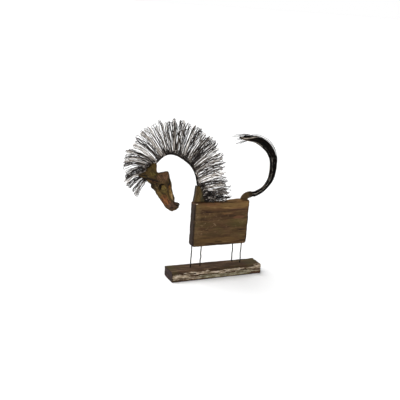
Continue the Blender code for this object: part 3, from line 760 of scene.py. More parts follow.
# %% Wire finishes
def wire_finish(name, dark, bright, rust, shine):
    """Old wire, from its two colours in thousandths, its rust and its roughness."""
    def paint(tree, here):
        scale = tree.noise(here, 420.0, 3.0, 0.6)
        spots = tree.rising(tree.noise(here, 190.0, 3.0, 0.6), 0.56, 0.66)
        steel = tree.mix(*scaled((dark, bright), 1e3), tree.rising(scale, 0.40, 0.72))
        steel = tree.over(steel, (85, 34, 14, spots * rust))
        return steel, shine + scale * 0.25 + spots * 0.2, scale, 0.0001, 0.5
    return surface(name, paint, Metallic=0.85)


leg_steel = wire_finish("leg_wire_steel", (4, 3, 3), (14, 11, 9), rust=0.5, shine=0.50)
rod_steel = wire_finish("neck_rod_steel", (10, 8, 7), (40, 34, 30), rust=0.45, shine=0.42)
bright_steel = wire_finish("bright_wire_steel", (300, 280, 260), (600, 570, 540), rust=0.1,
                           shine=0.35)

# %% Four leg wires
leg_radius, leg_hole_radius = 0.00145, 0.00175
leg_foot_level, leg_top_level = 0.0135, 0.0960
# Along the horse and behind its middle, at the foot and at the top of each wire
leg_places = (((-0.0655, 0.0005), (-0.0655, 0.0005)), ((-0.0383, 0.0033), (-0.0383, 0.0026)),
              ((0.0574, 0.0146), (0.0512, 0.0059)), ((0.0740, 0.0014), (0.0740, 0.0011)))
leg_lines = [(Vector((*foot, leg_foot_level)), Vector((*top, leg_top_level)))
             for foot, top in leg_places]
legs = [wires("leg_wire_%d_steel" % number, [line], radius=leg_radius, spacing=0.004,
              finish=leg_steel, kink=0.0014, seed=number + 2.0)
        for number, line in enumerate(leg_lines, 1)]
hole_length = at(0, 0.02)

# %% [markdown]
# ## The plank
# It is a piece of reclaimed floorboard, a little narrower at the tail end. Its front top edge
# has splintered away, and two long checks run along its top.

# %% The plank
plank_size = plank_high - plank_low
tail_end_depth = 0.047
splinter_reach = 0.0075


def plank_shape(point):
    """Splinters the front top edge away and tapers the plank's depth towards the tail."""
    x, y, z = point
    near = (max(0.0, 1 - (y - plank_low.y) / splinter_reach)
            * max(0.0, 1 - (plank_high.z - z) / splinter_reach))
    torn = 0.5 + 0.5 * noise.fractal(Vector((x * 38, z * 260, 3.0)), 0.8, 2.0, 3)
    loss = near * (0.0010 + 0.0046 * (0.6 * torn + 0.4 * round(torn * 5) / 5))
    narrow = 1 - (1 - tail_end_depth / plank_size.y) * (x - plank_low.x) / plank_size.x
    return Vector((x, (y + loss * 0.7) * narrow, z - loss))


# Each crack's two ends along the grain, its level, wander, half width and side
plank_checks = [crack_along(*row) for row in (
    (-0.110, -0.010, 0.0085, 0.002, 0.0009, -1), (0.005, 0.095, 0.0150, 0.003, 0.0009, -1),
    (-0.080, 0.100, 0.0120, 0.003, 0.0010, 1))]
plank = timber("plank", plank_low, plank_high, steps=(0.0018, 0.0016, 0.0008), edge=0.0012,
               wear=0.0024, relief=0.0007, seed=11, finish=plank_wood, shape=plank_shape,
               dents=plank_checks, paint=strip_paint)
drilled(plank, [(foot, foot + hole_length) for foot, top in leg_lines], leg_hole_radius)

# %% [markdown]
# ## The board
# The body is one thick board, its grain along the horse. Its top edge dips a little between the
# wedge and the dock, its corners are rounded by wear, and a short crack has opened near the
# bottom. The solid's outline gives the dip, so the lattice is shaped by the same curve.

# %% The board
# Rounding of the board's corners: head end low and high, tail end low and high
corner_rounds = ((0.0062, 0.0045), (0.0045, 0.0028))
board_sway = 0.0030
sway_start, sway_end = -0.030, 0.060


def board_shape(point):
    """Rounds each corner of the board and lowers its back between wedge and dock."""
    x, y, z = point
    middle = (board_low + board_high) / 2
    corner_round = corner_rounds[x > middle.x][z > middle.z]
    inner_x = min(max(x, board_low.x + corner_round), board_high.x - corner_round)
    inner_z = min(max(z, board_low.z + corner_round), board_high.z - corner_round)
    out = Vector((x - inner_x, z - inner_z))
    if out.x and out.y:
        out = out.normalized() * max(abs(out.x), abs(out.y))
        x, z = inner_x + out.x, inner_z + out.y
    share = min(max((x - sway_start) / (sway_end - sway_start), 0.0), 1.0)
    height = (z - board_low.z) / (board_high.z - board_low.z)
    return at(x, z - board_sway * sin(pi * share) ** 2 * height ** 6, y)


board_cracks = [crack_along(*row) for row in (
    (-0.016, 0.016, 0.0932, 0.002, 0.0010, -1), (0.036, 0.074, 0.1188, 0.002, 0.0006, -1),
    (-0.050, -0.020, 0.1240, 0.004, 0.0008, -1), (-0.040, 0.030, 0.1600, 0.005, 0.0011, 1),
    (0.010, 0.060, 0.1100, 0.004, 0.0009, 1))]
board = timber("board", board_low, board_high, steps=(0.0020, 0.0018, 0.0011), edge=0.0018,
               wear=0.0028, relief=0.0005, seed=4, finish=board_wood, shape=board_shape,
               dents=board_cracks)
drilled(board, [(top - hole_length, top) for foot, top in leg_lines], leg_hole_radius)

# %% [markdown]
# ## The wedge under the neck
# A thin wedge stands on the board's head end and holds the neck rod. It is a block whose two
# upright sides lean, so the box's lattice is squeezed towards the top, and the rod's hole is
# drilled from above.

# %% The wedge
wedge_top = 0.0115
rod_setback = 0.0048
rod_radius, rod_hole_radius, rod_hole_depth = 0.0020, 0.0023, 0.0165
rod_mouth = at(stub_low.x + wedge_lean + rod_setback, stub_high.z)


def wedge_shape(point):
    """Leans the head side a little and the back side a lot."""
    rise = (point.z - stub_low.z) / (stub_high.z - stub_low.z)
    share = (point.x - stub_low.x) / (stub_high.x - stub_low.x)
    near = stub_low.x + wedge_lean * rise
    far = stub_high.x + (stub_low.x + wedge_lean + wedge_top - stub_high.x) * rise
    return at(near + (far - near) * share, point.z, point.y)


wedge = timber("wedge", stub_low, stub_high, steps=(0.0010, 0.0012, 0.0010), edge=0.0010,
               wear=0.0012, relief=0.0004, seed=7, finish=stub_wood, shape=wedge_shape)
drilled(wedge, [(rod_mouth - at(0, rod_hole_depth), rod_mouth + at(0, 0.004))], rod_hole_radius)

# %% [markdown]
# ## The tail's dock
# A bent stub at the board's back end holds the tail. It is carved from upright to level, so it
# is lofted through rings that turn by a quarter. The rings are close together, so that knife
# marks and grain can be cut into the mesh.

# %% The dock
dock_foot, dock_mouth = at(0.0695, stub_low.z), at(0.0885, 0.2076)
dock_foot_length, dock_mouth_height, dock_thickness = 0.0200, 0.0156, 0.0125
dock_rings, dock_sides, dock_squareness = 44, 60, 2.6
tail_hole_radius, tail_hole_depth = 0.0053, 0.0083


def loft(rings):
    """A closed skin through rings of equal size, with a centre point in each end."""
    builder = bmesh.new()
    rows = [[builder.verts.new(point) for point in ring] for ring in rings]
    count = len(rows[0])
    for low, high in zip(rows, rows[1:]):
        for index in range(count):
            after = (index + 1) % count
            builder.faces.new((low[index], low[after], high[after], high[index]))
    for row in (rows[0], rows[-1]):
        middle = builder.verts.new(sum((vert.co for vert in row), Vector()) / count)
        for index in range(count):
            builder.faces.new((row[index], row[(index + 1) % count], middle))
    bmesh.ops.recalc_face_normals(builder, faces=builder.faces)
    return builder


def dock_ring(share, inset=0.0):
    """One section of the dock, squarish, drawn in by an inset."""
    turn = pi / 2 * share
    way = dock_mouth - dock_foot
    centre = dock_foot + at(way.x * (1 - cos(turn)), way.z * sin(turn))
    height = dock_foot_length + (dock_mouth_height - dock_foot_length) * share
    ring = []
    for index in range(dock_sides):
        angle = 2 * pi * index / dock_sides
        c, s = cos(angle), sin(angle)
        size = (abs(c) ** dock_squareness + abs(s) ** dock_squareness) ** (-1 / dock_squareness)
        cut = 0.0005 * max(0.0, noise.noise(Vector((c * 2.2, s * 2.2, share * 3.0)) * 1.6))
        fibre = 0.0003 * max(0.0, noise.noise(Vector((c * 14, s * 14, share * 1.5))))
        reach = size * (1 - (cut + fibre) / (height / 2))
        across = (height / 2 - inset) * c * reach
        ring.append(centre + at(-cos(turn) * across, sin(turn) * across,
                                (dock_thickness / 2 - inset) * s * reach))
    return ring


rings = [dock_ring(0.0, 0.0009)] + [dock_ring(index / dock_rings)
                                    for index in range(dock_rings + 1)] + [dock_ring(1.0, 0.0010)]
dock = piece("dock", mesh_of("dock", loft(rings)), stub_wood)
drilled(dock, [(dock_mouth - at(tail_hole_depth, 0), dock_mouth + at(0.002, 0))],
        tail_hole_radius)

# %% [markdown]
# ## The neck rod and its winding
# A round rod is bent from the wedge to the head. Thin wire is wound round it over the whole arch
# and lashes the mane down. The arch is a smooth curve through a few points, given in the arch's
# own span, so its form can be read. The winding is the same line, pushed off by a radius that
# turns as it goes along: each step of the resampled line turns by a fixed angle.

# %% The arch
arch_span = 0.114
# Along the horse and up, in thousandths of the span
arch_shape = scaled((
    (0, 0), (-13, 65), (-40, 180), (-83, 300), (-158, 420), (-238, 502), (-340, 580),
    (-462, 656), (-568, 702), (-672, 720), (-776, 702), (-880, 638), (-955, 568), (-1000, 516)),
    1e3)
rod_in_stub, rod_in_head = 0.016, 0.018
rod_heading = at(-0.42, -0.90)


def smooth_path(points, steps):
    """A Catmull-Rom curve through the points."""
    padded = [points[0] * 2 - points[1]] + points + [points[-1] * 2 - points[-2]]
    path = []
    for before, start, end, after in zip(padded, padded[1:], padded[2:], padded[3:]):
        for step in range(steps):
            t = step / steps
            path.append(0.5 * (2 * start + (end - before) * t
                               + (2 * before - 5 * start + 4 * end - after) * t * t
                               + (3 * start - before - 3 * end + after) * t ** 3))
    return path + [points[-1]]


arch = [rod_mouth + at(x, z) * arch_span for x, z in arch_shape]
poll = arch[-1]
rod_line = smooth_path([rod_mouth - at(0, rod_in_stub), rod_mouth - at(0, rod_in_stub / 2)]
                       + arch + [poll + rod_heading * rod_in_head], 5)


# %% Tree for a winding, and the rod
def wound_maker():
    """A wire wound round a line."""
    tree, guide, radius, wire, pitch, uneven = new_maker(
        "winding", radius=0.0027, wire=0.00052, pitch=0.0013, uneven=0.35)
    steps_in_a_turn = 10.0
    line = resampled(tree, guide, length=pitch / steps_in_a_turn)
    step = tree.add("GeometryNodeSplineParameter").out("Index")
    here = tree.add("GeometryNodeInputPosition")
    slack = tree.noise(here, 210.0, 2.0) - 0.5
    turn = step * (2 * pi) / steps_in_a_turn + slack * 5.0
    reach = radius * (1 + (tree.noise(here, 330.0, 1.0) - 0.5) * uneven * 2.0)
    return swept(tree, moved(tree, line, Offset=round_line(tree, turn, reach)), wire, 5, True)


winding = wound_maker()
rod = wires("neck_rod", [rod_line], radius=rod_radius, spacing=0.0025, finish=rod_steel)

# %% [markdown]
# ## The carved head
# The head is one carved block with its ears left on. The solid has its outline and its large
# hollows. Here a copy of it is merged, remeshed finely and smoothed, and then cut as a carver
# would: strokes of a gouge along lines that are drawn in shares of the head's length, a raised
# eyeball under its lid, and small facets left by the knife. Voxel remeshing suits this, because
# it gives even quads wherever the strokes go.

# %% Strokes of the gouge
head_length = 0.123
# Each stroke's half width in thousandths of the head's length, its depth in tenths of a
# millimetre, and its points in thousandths again
strokes = [(half, deep, list(zip(points[::2], points[1::2]))) for half, deep, *points in scaled((
    (18, 24, 114, -500, 108, -455, 112, -418, 140, -403, 172, -398),
    (30, 30, 114, -495, 110, -430), (16, 9, 262, -463, 285, -400, 306, -336),
    (12, 5, 125, -505, 150, -527, 185, -525, 215, -500),
    (20, 10, -175, -262, -90, -302, 0, -330, 60, -345),
    (18, 8, -60, -330, -18, -360, 24, -372, 66, -398),
    (14, 7, -30, -398, 20, -398, 52, -422, 60, -470),
    (12, 6, 75, -380, 86, -430, 80, -480, 94, -530), (14, 7, -10, -505, 30, -510, 58, -490),
    (16, 5, 60, -180, 82, -215, 130, -232, 200, -225),
    (13, 11, 405, -770, 432, -812, 470, -840, 520, -850),
    (14, 10, 330, -905, 352, -880, 378, -882), (10, 7, 430, -925, 452, -900, 500, -895),
    (14, 4, 300, -560, 345, -640, 385, -720), (10, 4, -120, -60, -20, -100, 20, -140),
    (10, 4, -150, -120, -60, -170, 10, -190), (18, 9, -290, -203, -235, -212, -175, -222)),
    1e3, 1e4, 1e3)]
cut_shade_depth = 0.0010
facet_depth, fibre_depth = 0.00010, 0.00030
eye_x, eye_z, eye_radius, eye_height = 0.176, -0.475, 0.055, 0.0013
# Knobs on the outline: centre and radius in thousandths of the head's length, and how far each
# stands out in tenths of a millimetre
knobs = scaled((
    (-60, -10, 90, 52), (-158, -128, 110, 72), (-68, -465, 66, 74), (12, -550, 55, -26),
    (520, -830, 75, 26), (488, -885, 50, 36), (440, -935, 50, -36), (235, -895, 100, 22),
    (300, -220, 120, 18), (320, -400, 130, 26), (345, -580, 100, 16), (390, -700, 95, 36)),
    1e3, 1e3, 1e3, 1e4)


def distance_to_line(x, z, points):
    """Shortest distance from a point to a line of short pieces."""
    best = 1.0
    for (ax, az), (bx, bz) in zip(points, points[1:]):
        dx, dz = bx - ax, bz - az
        share = ((x - ax) * dx + (z - az) * dz) / (dx * dx + dz * dz)
        share = min(1.0, max(0.0, share))
        best = min(best, sqrt((x - ax - dx * share) ** 2 + (z - az - dz * share) ** 2))
    return best


def carving(x, z):
    """How far the surface goes in at a place on the side, and how much painted shade the cut gets.
    """
    depth, dark = 0.0, 0.0
    for half, deep, points in strokes:
        near = distance_to_line(x, z, points) / half
        if near < 1:
            cut = (1 - near * near) ** 2
            depth = max(depth, deep * cut)
            dark = max(dark, cut * min(1.0, deep / cut_shade_depth))
    off = ((x - eye_x) ** 2 + (z - eye_z) ** 2) / eye_radius ** 2
    return depth - eye_height * max(0.0, 1 - off) ** 1.5, dark


# %% The head
def carved_head(finish):
    builder = bmesh.new()
    builder.from_mesh(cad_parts["head"].data)
    bmesh.ops.remove_doubles(builder, verts=builder.verts, dist=0.00001)
    made = piece("carved_head", mesh_of("head", builder), finish, 0)
    worked(made, "REMESH", mode="VOXEL", voxel_size=0.00052)
    worked(made, "SMOOTH", factor=0.5, iterations=4)
    mesh = made.data
    mesh.materials.clear()
    mesh.materials.append(finish)
    normals = [vert.normal.copy() for vert in mesh.vertices]
    cut_shades, rim_shades = [], []
    for vert, normal in zip(mesh.vertices, normals):
        place = (vert.co - poll) / head_length
        side = abs(normal.y) ** 1.5
        depth, dark = carving(place.x, place.z)
        facet = noise.cell(vert.co * 260) * facet_depth
        along, over = place.x * 0.5 + place.z * 0.85, place.x * 0.85 - place.z * 0.5
        fibre = noise.fractal(Vector((along * 3, over * 46, vert.co.y * 240)), 0.8, 2.0, 2)
        vert.co -= normal * (depth * side + facet + max(0.0, fibre) * fibre_depth)
        for x, z, radius, stand in knobs:
            off = ((place.x - x) ** 2 + (place.z - z) ** 2) / radius ** 2
            vert.co += at(normal.x, normal.z) * (stand * max(0.0, 1 - off) ** 1.5)
        # Painted shade: how dark each cut is, and how far the surface turns from the side
        cut_shades.append(dark * side)
        rim_shades.append(1 - abs(normal.y))
    add_numbers(mesh, {"dent": cut_shades, "rim": rim_shades})
    mesh.shade_smooth()
    return made


# %% [markdown]
# The head's wood changes a lot over its length: dark olive at the poll, near black on the ear
# and the brow, purplish on the cheek, golden where the jaw has been rubbed, red-brown down the
# face and almost black at the nose. Each zone is one more oval of colour. The carved cuts are
# painted darker the deeper they go, and the rim where the surface turns away from the side is
# painted darker too: both are painted shade.

# %% The head's finish
# Centre and half size of each zone in thousandths of the head's length, its turn, its colour in
# thousandths and its cover in hundredths
head_zones = scaled((
    (-50, -120, 110, 120, 0, 50, 34, 7, 60), (-50, -194, 60, 30, -30, 90, 70, 14, 75),
    (20, -60, 22, 110, 5, 85, 30, 12, 70), (-330, -190, 45, 30, -15, 10, 7, 5, 90),
    (-200, -228, 75, 20, -20, 60, 48, 22, 70), (-260, -262, 110, 18, -12, 9, 6, 4, 90),
    (-55, -298, 150, 26, -18, 7, 4, 3, 92), (-30, -345, 90, 18, -20, 75, 26, 12, 75),
    (-50, -440, 60, 85, 25, 8, 5, 3, 92), (40, -430, 38, 60, 25, 74, 50, 22, 80),
    (165, -250, 120, 110, 0, 108, 55, 31, 85), (145, -350, 90, 45, 0, 78, 48, 20, 75),
    (296, -330, 22, 110, 12, 16, 8, 5, 78), (262, -475, 26, 70, 25, 30, 16, 8, 65),
    (185, -505, 58, 75, 20, 122, 86, 24, 85), (215, -620, 40, 120, 25, 40, 27, 8, 70),
    (100, -600, 40, 90, 28, 90, 58, 20, 75), (305, -480, 26, 60, 18, 170, 70, 18, 90),
    (335, -590, 34, 110, 15, 180, 108, 34, 88), (368, -665, 20, 65, 15, 300, 205, 95, 85),
    (225, -725, 78, 125, 28, 135, 50, 19, 85), (256, -745, 24, 80, 28, 215, 78, 28, 75),
    (270, -650, 16, 80, 26, 120, 66, 18, 65), (322, -755, 26, 70, 22, 105, 44, 20, 80),
    (380, -850, 110, 75, 0, 64, 34, 23, 90), (404, -745, 45, 28, -20, 120, 80, 45, 75),
    (510, -810, 40, 55, 0, 26, 19, 14, 88)), 1e3, 1e3, 1e3, 1e3, 1, 1e3, 1e3, 1e3, 1e2)


def head_paint(tree, here):
    x, unused, z = tree.parts((here - tuple(poll)) * (1 / head_length))
    layers = grain(tree, here, 5.0, 0.0034, turn=radians(-60))
    streaks, fibres = layers[1:]
    wood = tree.ramp(tone_of(tree, layers, 1.4, 1.9, 0.3, 1.30), (100, 11, 6, 2),
                     (400, 36, 21, 5), (620, 64, 38, 10), (900, 125, 77, 21))
    broken = (tree.noise(here, 210.0, 3.0, 0.6) - 0.5) * 2.0 + (streaks - 0.5) * 2.4
    wood = stained(tree, wood, x, z, head_zones, 0.22, broken)
    # Small blotches of wax and dirt, then fine dark lines down the face with lighter ones between
    blotch = tree.noise(here * (1.0, 0.5, 1.0), 300.0, 3.0, 0.65)
    for tint, where, low, high, cover in (((0.42, 0.36, 0.30), blotch, 0.53, 0.62, 0.70),
                                          ((1.55, 1.40, 1.30), 1 - blotch, 0.54, 0.64, 0.70),
                                          (0.20, streaks, 0.52, 0.62, 0.85),
                                          (1.90, 1 - streaks, 0.52, 0.62, 0.80)):
        wood = tree.mix(wood, wood * tint, tree.rising(where, low, high) * cover)
    # Carved cuts get darker the deeper they go: painted shade in the cuts
    wood = tree.over(wood, (5, 3, 2, tree.rising(tree.painted("dent"), 0.12, 0.75) * 0.95))
    # The rim, where the surface turns away from the side, is a darker copy of the wood: painted
    # shade
    wood = tree.mix(wood, wood * 0.28, tree.rising(tree.painted("rim"), 0.25, 0.85) * 0.85)
    return wood, 0.48 + fibres * 0.25, streaks * 0.5 + fibres * 0.5, 0.0006, 0.6


head_wood = surface("carved_head_wood", head_paint, Specular_IOR_Level=0.09)
head = carved_head(head_wood)

# %% [markdown]
# ## The mane
# Hundreds of thin wires, each bent back on itself, are lashed to the rod and fan out from it.
# They could be drawn one by one, but a rule makes them better. The guide is the line along which
# they are lashed, and its points carry three numbers: which way the loops stand there, how long
# they are and how loose. The tree spreads tufts along the guide, puts several loops in each tuft
# and gives every loop its own turn, lean, length and bow. Tufts move together, so white gaps
# open between them as they do in real wire.

# %% The line that the mane is lashed to
# Share of the way along in hundredths, angle above the tail's direction in degrees, thousandths
# of the full length, and how bright and loose the wires are there in tenths
mane_fan = scaled((
    (0, -3, 650, 5), (6, 1, 720, 9), (16, 8, 840, 11), (24, 16, 890, 10), (31, 25, 930, 3),
    (38, 42, 970, 0), (45, 58, 975, 1), (53, 76, 970, 2), (60, 97, 965, 4), (66, 117, 960, 4),
    (72, 135, 940, 4), (78, 151, 890, 4), (83, 164, 820, 3), (87, 178, 690, 2),
    (91, 193, 570, 1), (95, 210, 540, 0), (100, 229, 520, 0)), 1e2, 1, 1e3, 1e1)
wedge_back_top = at(rod_mouth.x - rod_setback + wedge_top, stub_high.z)
wedge_back_foot = at(stub_high.x, stub_low.z)
crest = [at(x, z) * head_length + poll for x, z in scaled((
    (-72, 6), (-118, -24), (-168, -68), (-212, -126), (-224, -194), (-200, -262), (-168, -318)),
    1e3)]


def fan_at(share):
    """The fan's angle, length and looseness at a share of the way."""
    for low, high in zip(mane_fan, mane_fan[1:]):
        if share <= high[0]:
            blend = max(0.0, (share - low[0]) / (high[0] - low[0]))
            return [a + (b - a) * blend for a, b in zip(low[1:], high[1:])]
    return mane_fan[-1][1:]


slope_line = [wedge_back_foot.lerp(wedge_back_top, share / 6) for share in range(7)]
bare_rod = [point for point in rod_line if point.z > rod_mouth.z + 0.001
            and (point.x > poll.x - 0.001 or point.z > poll.z)][1:]
lashed = slope_line + bare_rod + crest
steps_along = [0.0] + [(after - before).length for before, after in zip(lashed, lashed[1:])]
fan = [fan_at(sum(steps_along[:index + 1]) / sum(steps_along)) for index in range(len(lashed))]


def mane_guide(name, first, last):
    """A guide over part of the lashed line, from one share of its points to another."""
    part = slice(int(len(lashed) * first), int(len(lashed) * last))
    angles, reaches, looses = zip(*fan[part])
    return polyline(name, [lashed[part]], angle=[radians(angle) for angle in angles],
                    reach=reaches, loose=looses)


print("the mane is lashed over", round(sum(steps_along) * 1000), "mm")


# %% Tree for looped wires
def looped_maker():
    (tree, guide, spacing, length, wire, half, lean, bow, fuss, sag, root, curl, shorter,
     tuft_turn, loop_turn, turns, loops, seed) = new_maker(
        "looped wires", tuft_spacing=0.004, length=0.088, wire=0.0006, half_width=0.002,
        lean=0.008, bow=0.0095, fuss=0.0009, sag=0.0, root_spread=0.0018, curl=0.0, shorter=0.15,
        tuft_turn=0.05, loop_turn=0.07, turns=2.0, loops=3, seed=1)
    steps, gather = 20, 0.3

    # Roots: tufts along the line, then loops in each tuft
    line = tree.add("GeometryNodeMeshToCurve", Mesh=guide)
    tufts = tree.add("GeometryNodeCurveToPoints", Curve=line, Length=spacing, mode="LENGTH")
    number = tree.add("GeometryNodeInputIndex")

    def luck(offset, low=-1.0, high=1.0):
        return chance(tree, low, high, number, seed + offset)

    def kept(name):
        return attribute(tree, name)

    points = store(tree, tufts, "along", tufts.out("Tangent"))
    for offset, label in enumerate(("tuft_turn", "tuft_lean", "tuft_reach")):
        points = store(tree, points, label, luck(offset))
    points = tree.add("GeometryNodeDuplicateElements", Geometry=points, Amount=loops,
                      domain="POINT")
    slide = attribute(tree, "along", "FLOAT_VECTOR") * (luck(10, -0.5, 0.5) * spacing)
    points = moved(tree, points, Offset=slide + tree.join(0.0, luck(11) * root, 0.0))

    # Each loop's direction, length and plane
    reach = kept("reach") * length * (
        1 - shorter * (0.5 + 0.3 * kept("tuft_reach") + 0.2 * luck(12)))
    angle = kept("angle") + kept("tuft_turn") * tuft_turn + luck(13) * loop_turn
    sideways = (kept("tuft_lean") * 0.55 + luck(14) * 0.6) * lean
    out = tree.maths("NORMALIZE", tree.join(tree.maths("COSINE", angle) * reach, sideways,
                                            tree.maths("SINE", angle) * reach) - slide * gather)
    flat = tree.maths("NORMALIZE", tree.maths("CROSS_PRODUCT", out, (0.0, 1.0, 0.0)))
    tilt = luck(15, -1.1, 1.1)
    other = tree.maths("CROSS_PRODUCT", out, flat)
    side = flat * tree.maths("COSINE", tilt) + other * tree.maths("SINE", tilt)
    tone = luck(17, 0.0) ** (1.65 - kept("loose"))
    for label, value in (("root", tree.add("GeometryNodeInputPosition")), ("out", out),
                         ("side", side), ("long", reach), ("wide", half * luck(16, 0.35, 1.5)),
                         ("tone", tone)):
        points = store(tree, points, label, value)

    # A straight spoke for each loop, whose points are then laid along the hairpin
    spoke = tree.add("GeometryNodeCurvePrimitiveLine", Start=(0, 0, 0), End=(0, 0, 1))
    spoke = tree.add("GeometryNodeResampleCurve", Curve=spoke, Count=steps + 1, mode="COUNT")
    placed = tree.add("GeometryNodeInstanceOnPoints", Points=points, Instance=spoke)
    spokes = tree.add("GeometryNodeRealizeInstances", Geometry=placed)
    place = tree.add("GeometryNodeSplineParameter").out("Index") * (2.0 / steps) - 1.0
    strand = tree.maths("SIGN", place)
    far = tree.maths("ABSOLUTE", place) ** 1.7
    long, wide, tone = kept("long"), kept("wide"), kept("tone")
    from_tip = far * long
    near = 1 - tree.maths("MINIMUM", from_tip / wide, 1.0)
    bulge = tree.maths("SQRT", tree.maths("MAXIMUM", 1 - near * near, 0.0))
    across = strand * wide * bulge * (1 - 0.75 * far)
    base, out, side = [attribute(tree, name, "FLOAT_VECTOR") for name in ("root", "out", "side")]
    other = tree.maths("CROSS_PRODUCT", out, side)
    height = long - from_tip
    share = height / long
    straight = base + out * height
    apart = base * 90.0 + side * (tone * 6.0)
    slack = 1 + kept("loose") * 0.8
    swing = (tree.drift(apart + out * (height * 24.0))
             * (bow * 2.0 * slack * share ** 1.2))
    ripple = (tree.drift(straight * 75.0 + side * (strand * 0.8) + apart)
              * (fuss * 4.0 * slack * tree.rising(share, 0.0, 0.3)))
    arched = tree.join(0.0, 0.0, sag * 4.0 * share * (1 - share)
                       * tree.maths("ABSOLUTE", tree.parts(out)[0]))
    twist = share * turns * (2 * pi) + tone * 40.0
    coil = (side * tree.maths("COSINE", twist) + other * tree.maths("SINE", twist)) * curl
    laid = (straight + side * across + swing + ripple + arched
            + coil * tree.rising(share, 0.0, 0.2))
    return swept(tree, moved(tree, spokes, Position=laid), wire, 4)


looped = looped_maker()
print("looped tree has", len(looped.graph.nodes), "nodes")

# %% [markdown]
# The mane's steel is old but was never painted. Some loops are black with scale, most are grey
# and a few have stayed bright. The tree stores one tone for each loop, and the finish turns it
# into colour, so neighbours differ but a wire keeps its colour from root to tip.

# %% The mane's finish
def mane_paint(tree, here):
    mottle = tree.noise(here, 260.0, 2.0)
    tone = tree.add("ShaderNodeClamp", Value=tree.painted("tone") + (mottle - 0.5) * 0.30)
    steel = tree.ramp(tone, (0, 8, 5, 4), (420, 20, 14, 12), (600, 95, 78, 68),
                      (780, 360, 315, 275), (1000, 780, 720, 660))
    return steel, 0.36 + mottle * 0.25, mottle, 0.0001, 0.4


mane_steel = surface("mane_wire_steel", mane_paint, Metallic=0.3, Specular_IOR_Level=0.25)

# %% [markdown]
# Several sets of wires make the mane: long loops over the back and the top, tufts that stand
# apart over the head, a tangle of short dark ends where they are lashed, the curls that lie over
# the board behind the wedge, and the dark matting and bent-down ends on the wedge itself.

# %% The mane's sets of loops
curl_line = polyline("curl_line", [[wedge_back_foot + at(-0.004, 0.003),
                                    wedge_back_foot.lerp(wedge_back_top, 0.45)]],
                     angle=[radians(-2), radians(2)], reach=[0.64, 0.70], loose=[0.0, 0.2])
columns = ("tuft_spacing", "length", "wire", "half_width", "lean", "bow", "fuss", "sag",
           "root_spread", "curl", "shorter", "tuft_turn", "loop_turn", "turns", "loops", "seed")
divisors = (1e5,) * 10 + (1e3,) * 3 + (1e1,)
mane = []


def loop_set(name, guide, *row):
    """One set of looped wires. The row has ten lengths in hundredths of a millimetre, three
    numbers in thousandths, the turns of a curl in tenths, the loops in a tuft and the seed.
    """
    values = scaled([row[:14]], *divisors)[0] + list(row[14:])
    mane.append(run_maker(name, looped, guide, finish=mane_steel, **dict(zip(columns, values))))


for row in (
    ("mane_loops", mane_guide("mane_line", 0.0, 0.61),
     410, 8800, 66, 210, 850, 950, 90, 340, 180, 0, 150, 55, 70, 30, 3, 5),
    ("mane_back", mane_guide("back_line", 0.26, 0.62),
     480, 8650, 66, 220, 800, 950, 90, 280, 180, 0, 200, 80, 80, 30, 2, 33),
    ("mane_front", mane_guide("front_line", 0.585, 1.0),
     420, 8800, 60, 250, 800, 850, 90, 600, 160, 0, 170, 50, 75, 30, 4, 47),
    ("mane_tangle", mane_guide("tangle_line", 0.04, 1.0),
     360, 1500, 52, 160, 600, 800, 140, 0, 300, 120, 900, 500, 800, 20, 3, 60),
    ("mane_curls", curl_line,
     320, 8200, 60, 220, 750, 600, 100, -200, 300, 290, 400, 40, 70, 45, 3, 90)):
    loop_set(*row)

# %% Single wires of the mane and the wires on the wedge
# One long loop hangs free behind the ear, drawn in tenths of a millimetre
hanging = scaled((
    (-1982, 2558), (-1999, 2475), (-2060, 2393), (-2115, 2323), (-2137, 2252), (-2149, 2202),
    (-2171, 2241), (-2155, 2325), (-2086, 2418), (-2012, 2536), (-1950, 2640)), 1e4)
hanging = [at(x, z, -0.004 + 0.0006 * index) for index, (x, z) in enumerate(hanging)]
mane.append(wires("hanging_loop", [smooth_path(hanging, 4)], radius=0.00070, spacing=0.0015,
                  finish=rod_steel))
# The bright end of the lashing wire crosses the wedge's top
lashing = [Vector((-0.0560, -0.0088, 0.2335)), Vector((-0.0450, -0.0094, 0.2322)),
           Vector((-0.0340, -0.0090, 0.2330))]
mane.append(wires("lashing_wire", [lashing], radius=0.00075, spacing=0.0020,
                  finish=bright_steel, kink=0.0004, seed=2.0))
# Dark matting over the wedge's sloping back, in three rows
matted = [[point + at(0.0010, 0, level) for point in slope_line]
          for level in (-0.0095, -0.004, 0.004)]
matted_line = polyline("matted_line", matted, angle=[radians(4.0)] * 21,
                       reach=[1.25, 1.15, 1.0, 0.75, 0.55, 0.45, 0.40] * 3, loose=[-1.8] * 21)
loop_set("wedge_matting", matted_line,
         260, 2000, 58, 220, 400, 600, 120, 0, 100, 140, 700, 500, 600, 25, 4, 150)
# Ends that curl into a ring over the board: centre and radius of each
rings = ((0.0252, 0.2080, 0.0031), (0.0240, 0.2330, 0.0020), (0.0070, 0.2052, 0.0026),
         (-0.0085, 0.2050, 0.0026), (-0.0230, 0.2056, 0.0024))
ring_lines = []
for order, (x, z, radius) in enumerate(rings):
    level = -0.0085 + 0.0012 * (order % 3)
    line = [at(x - 0.022, z + 0.004, level + 0.004), at(x - 0.010, z - radius * 0.4, level)]
    for step in range(15):
        turn = radians(250 + 28 * step)
        line.append(at(x + cos(turn) * radius, z + sin(turn) * radius, level + 0.0001 * step))
    ring_lines.append(smooth_path(line, 2))
mane.append(wires("ring_curls", ring_lines, radius=0.00055, spacing=0.0012, finish=mane_steel,
                  tone=[0.30] * sum(len(line) for line in ring_lines)))
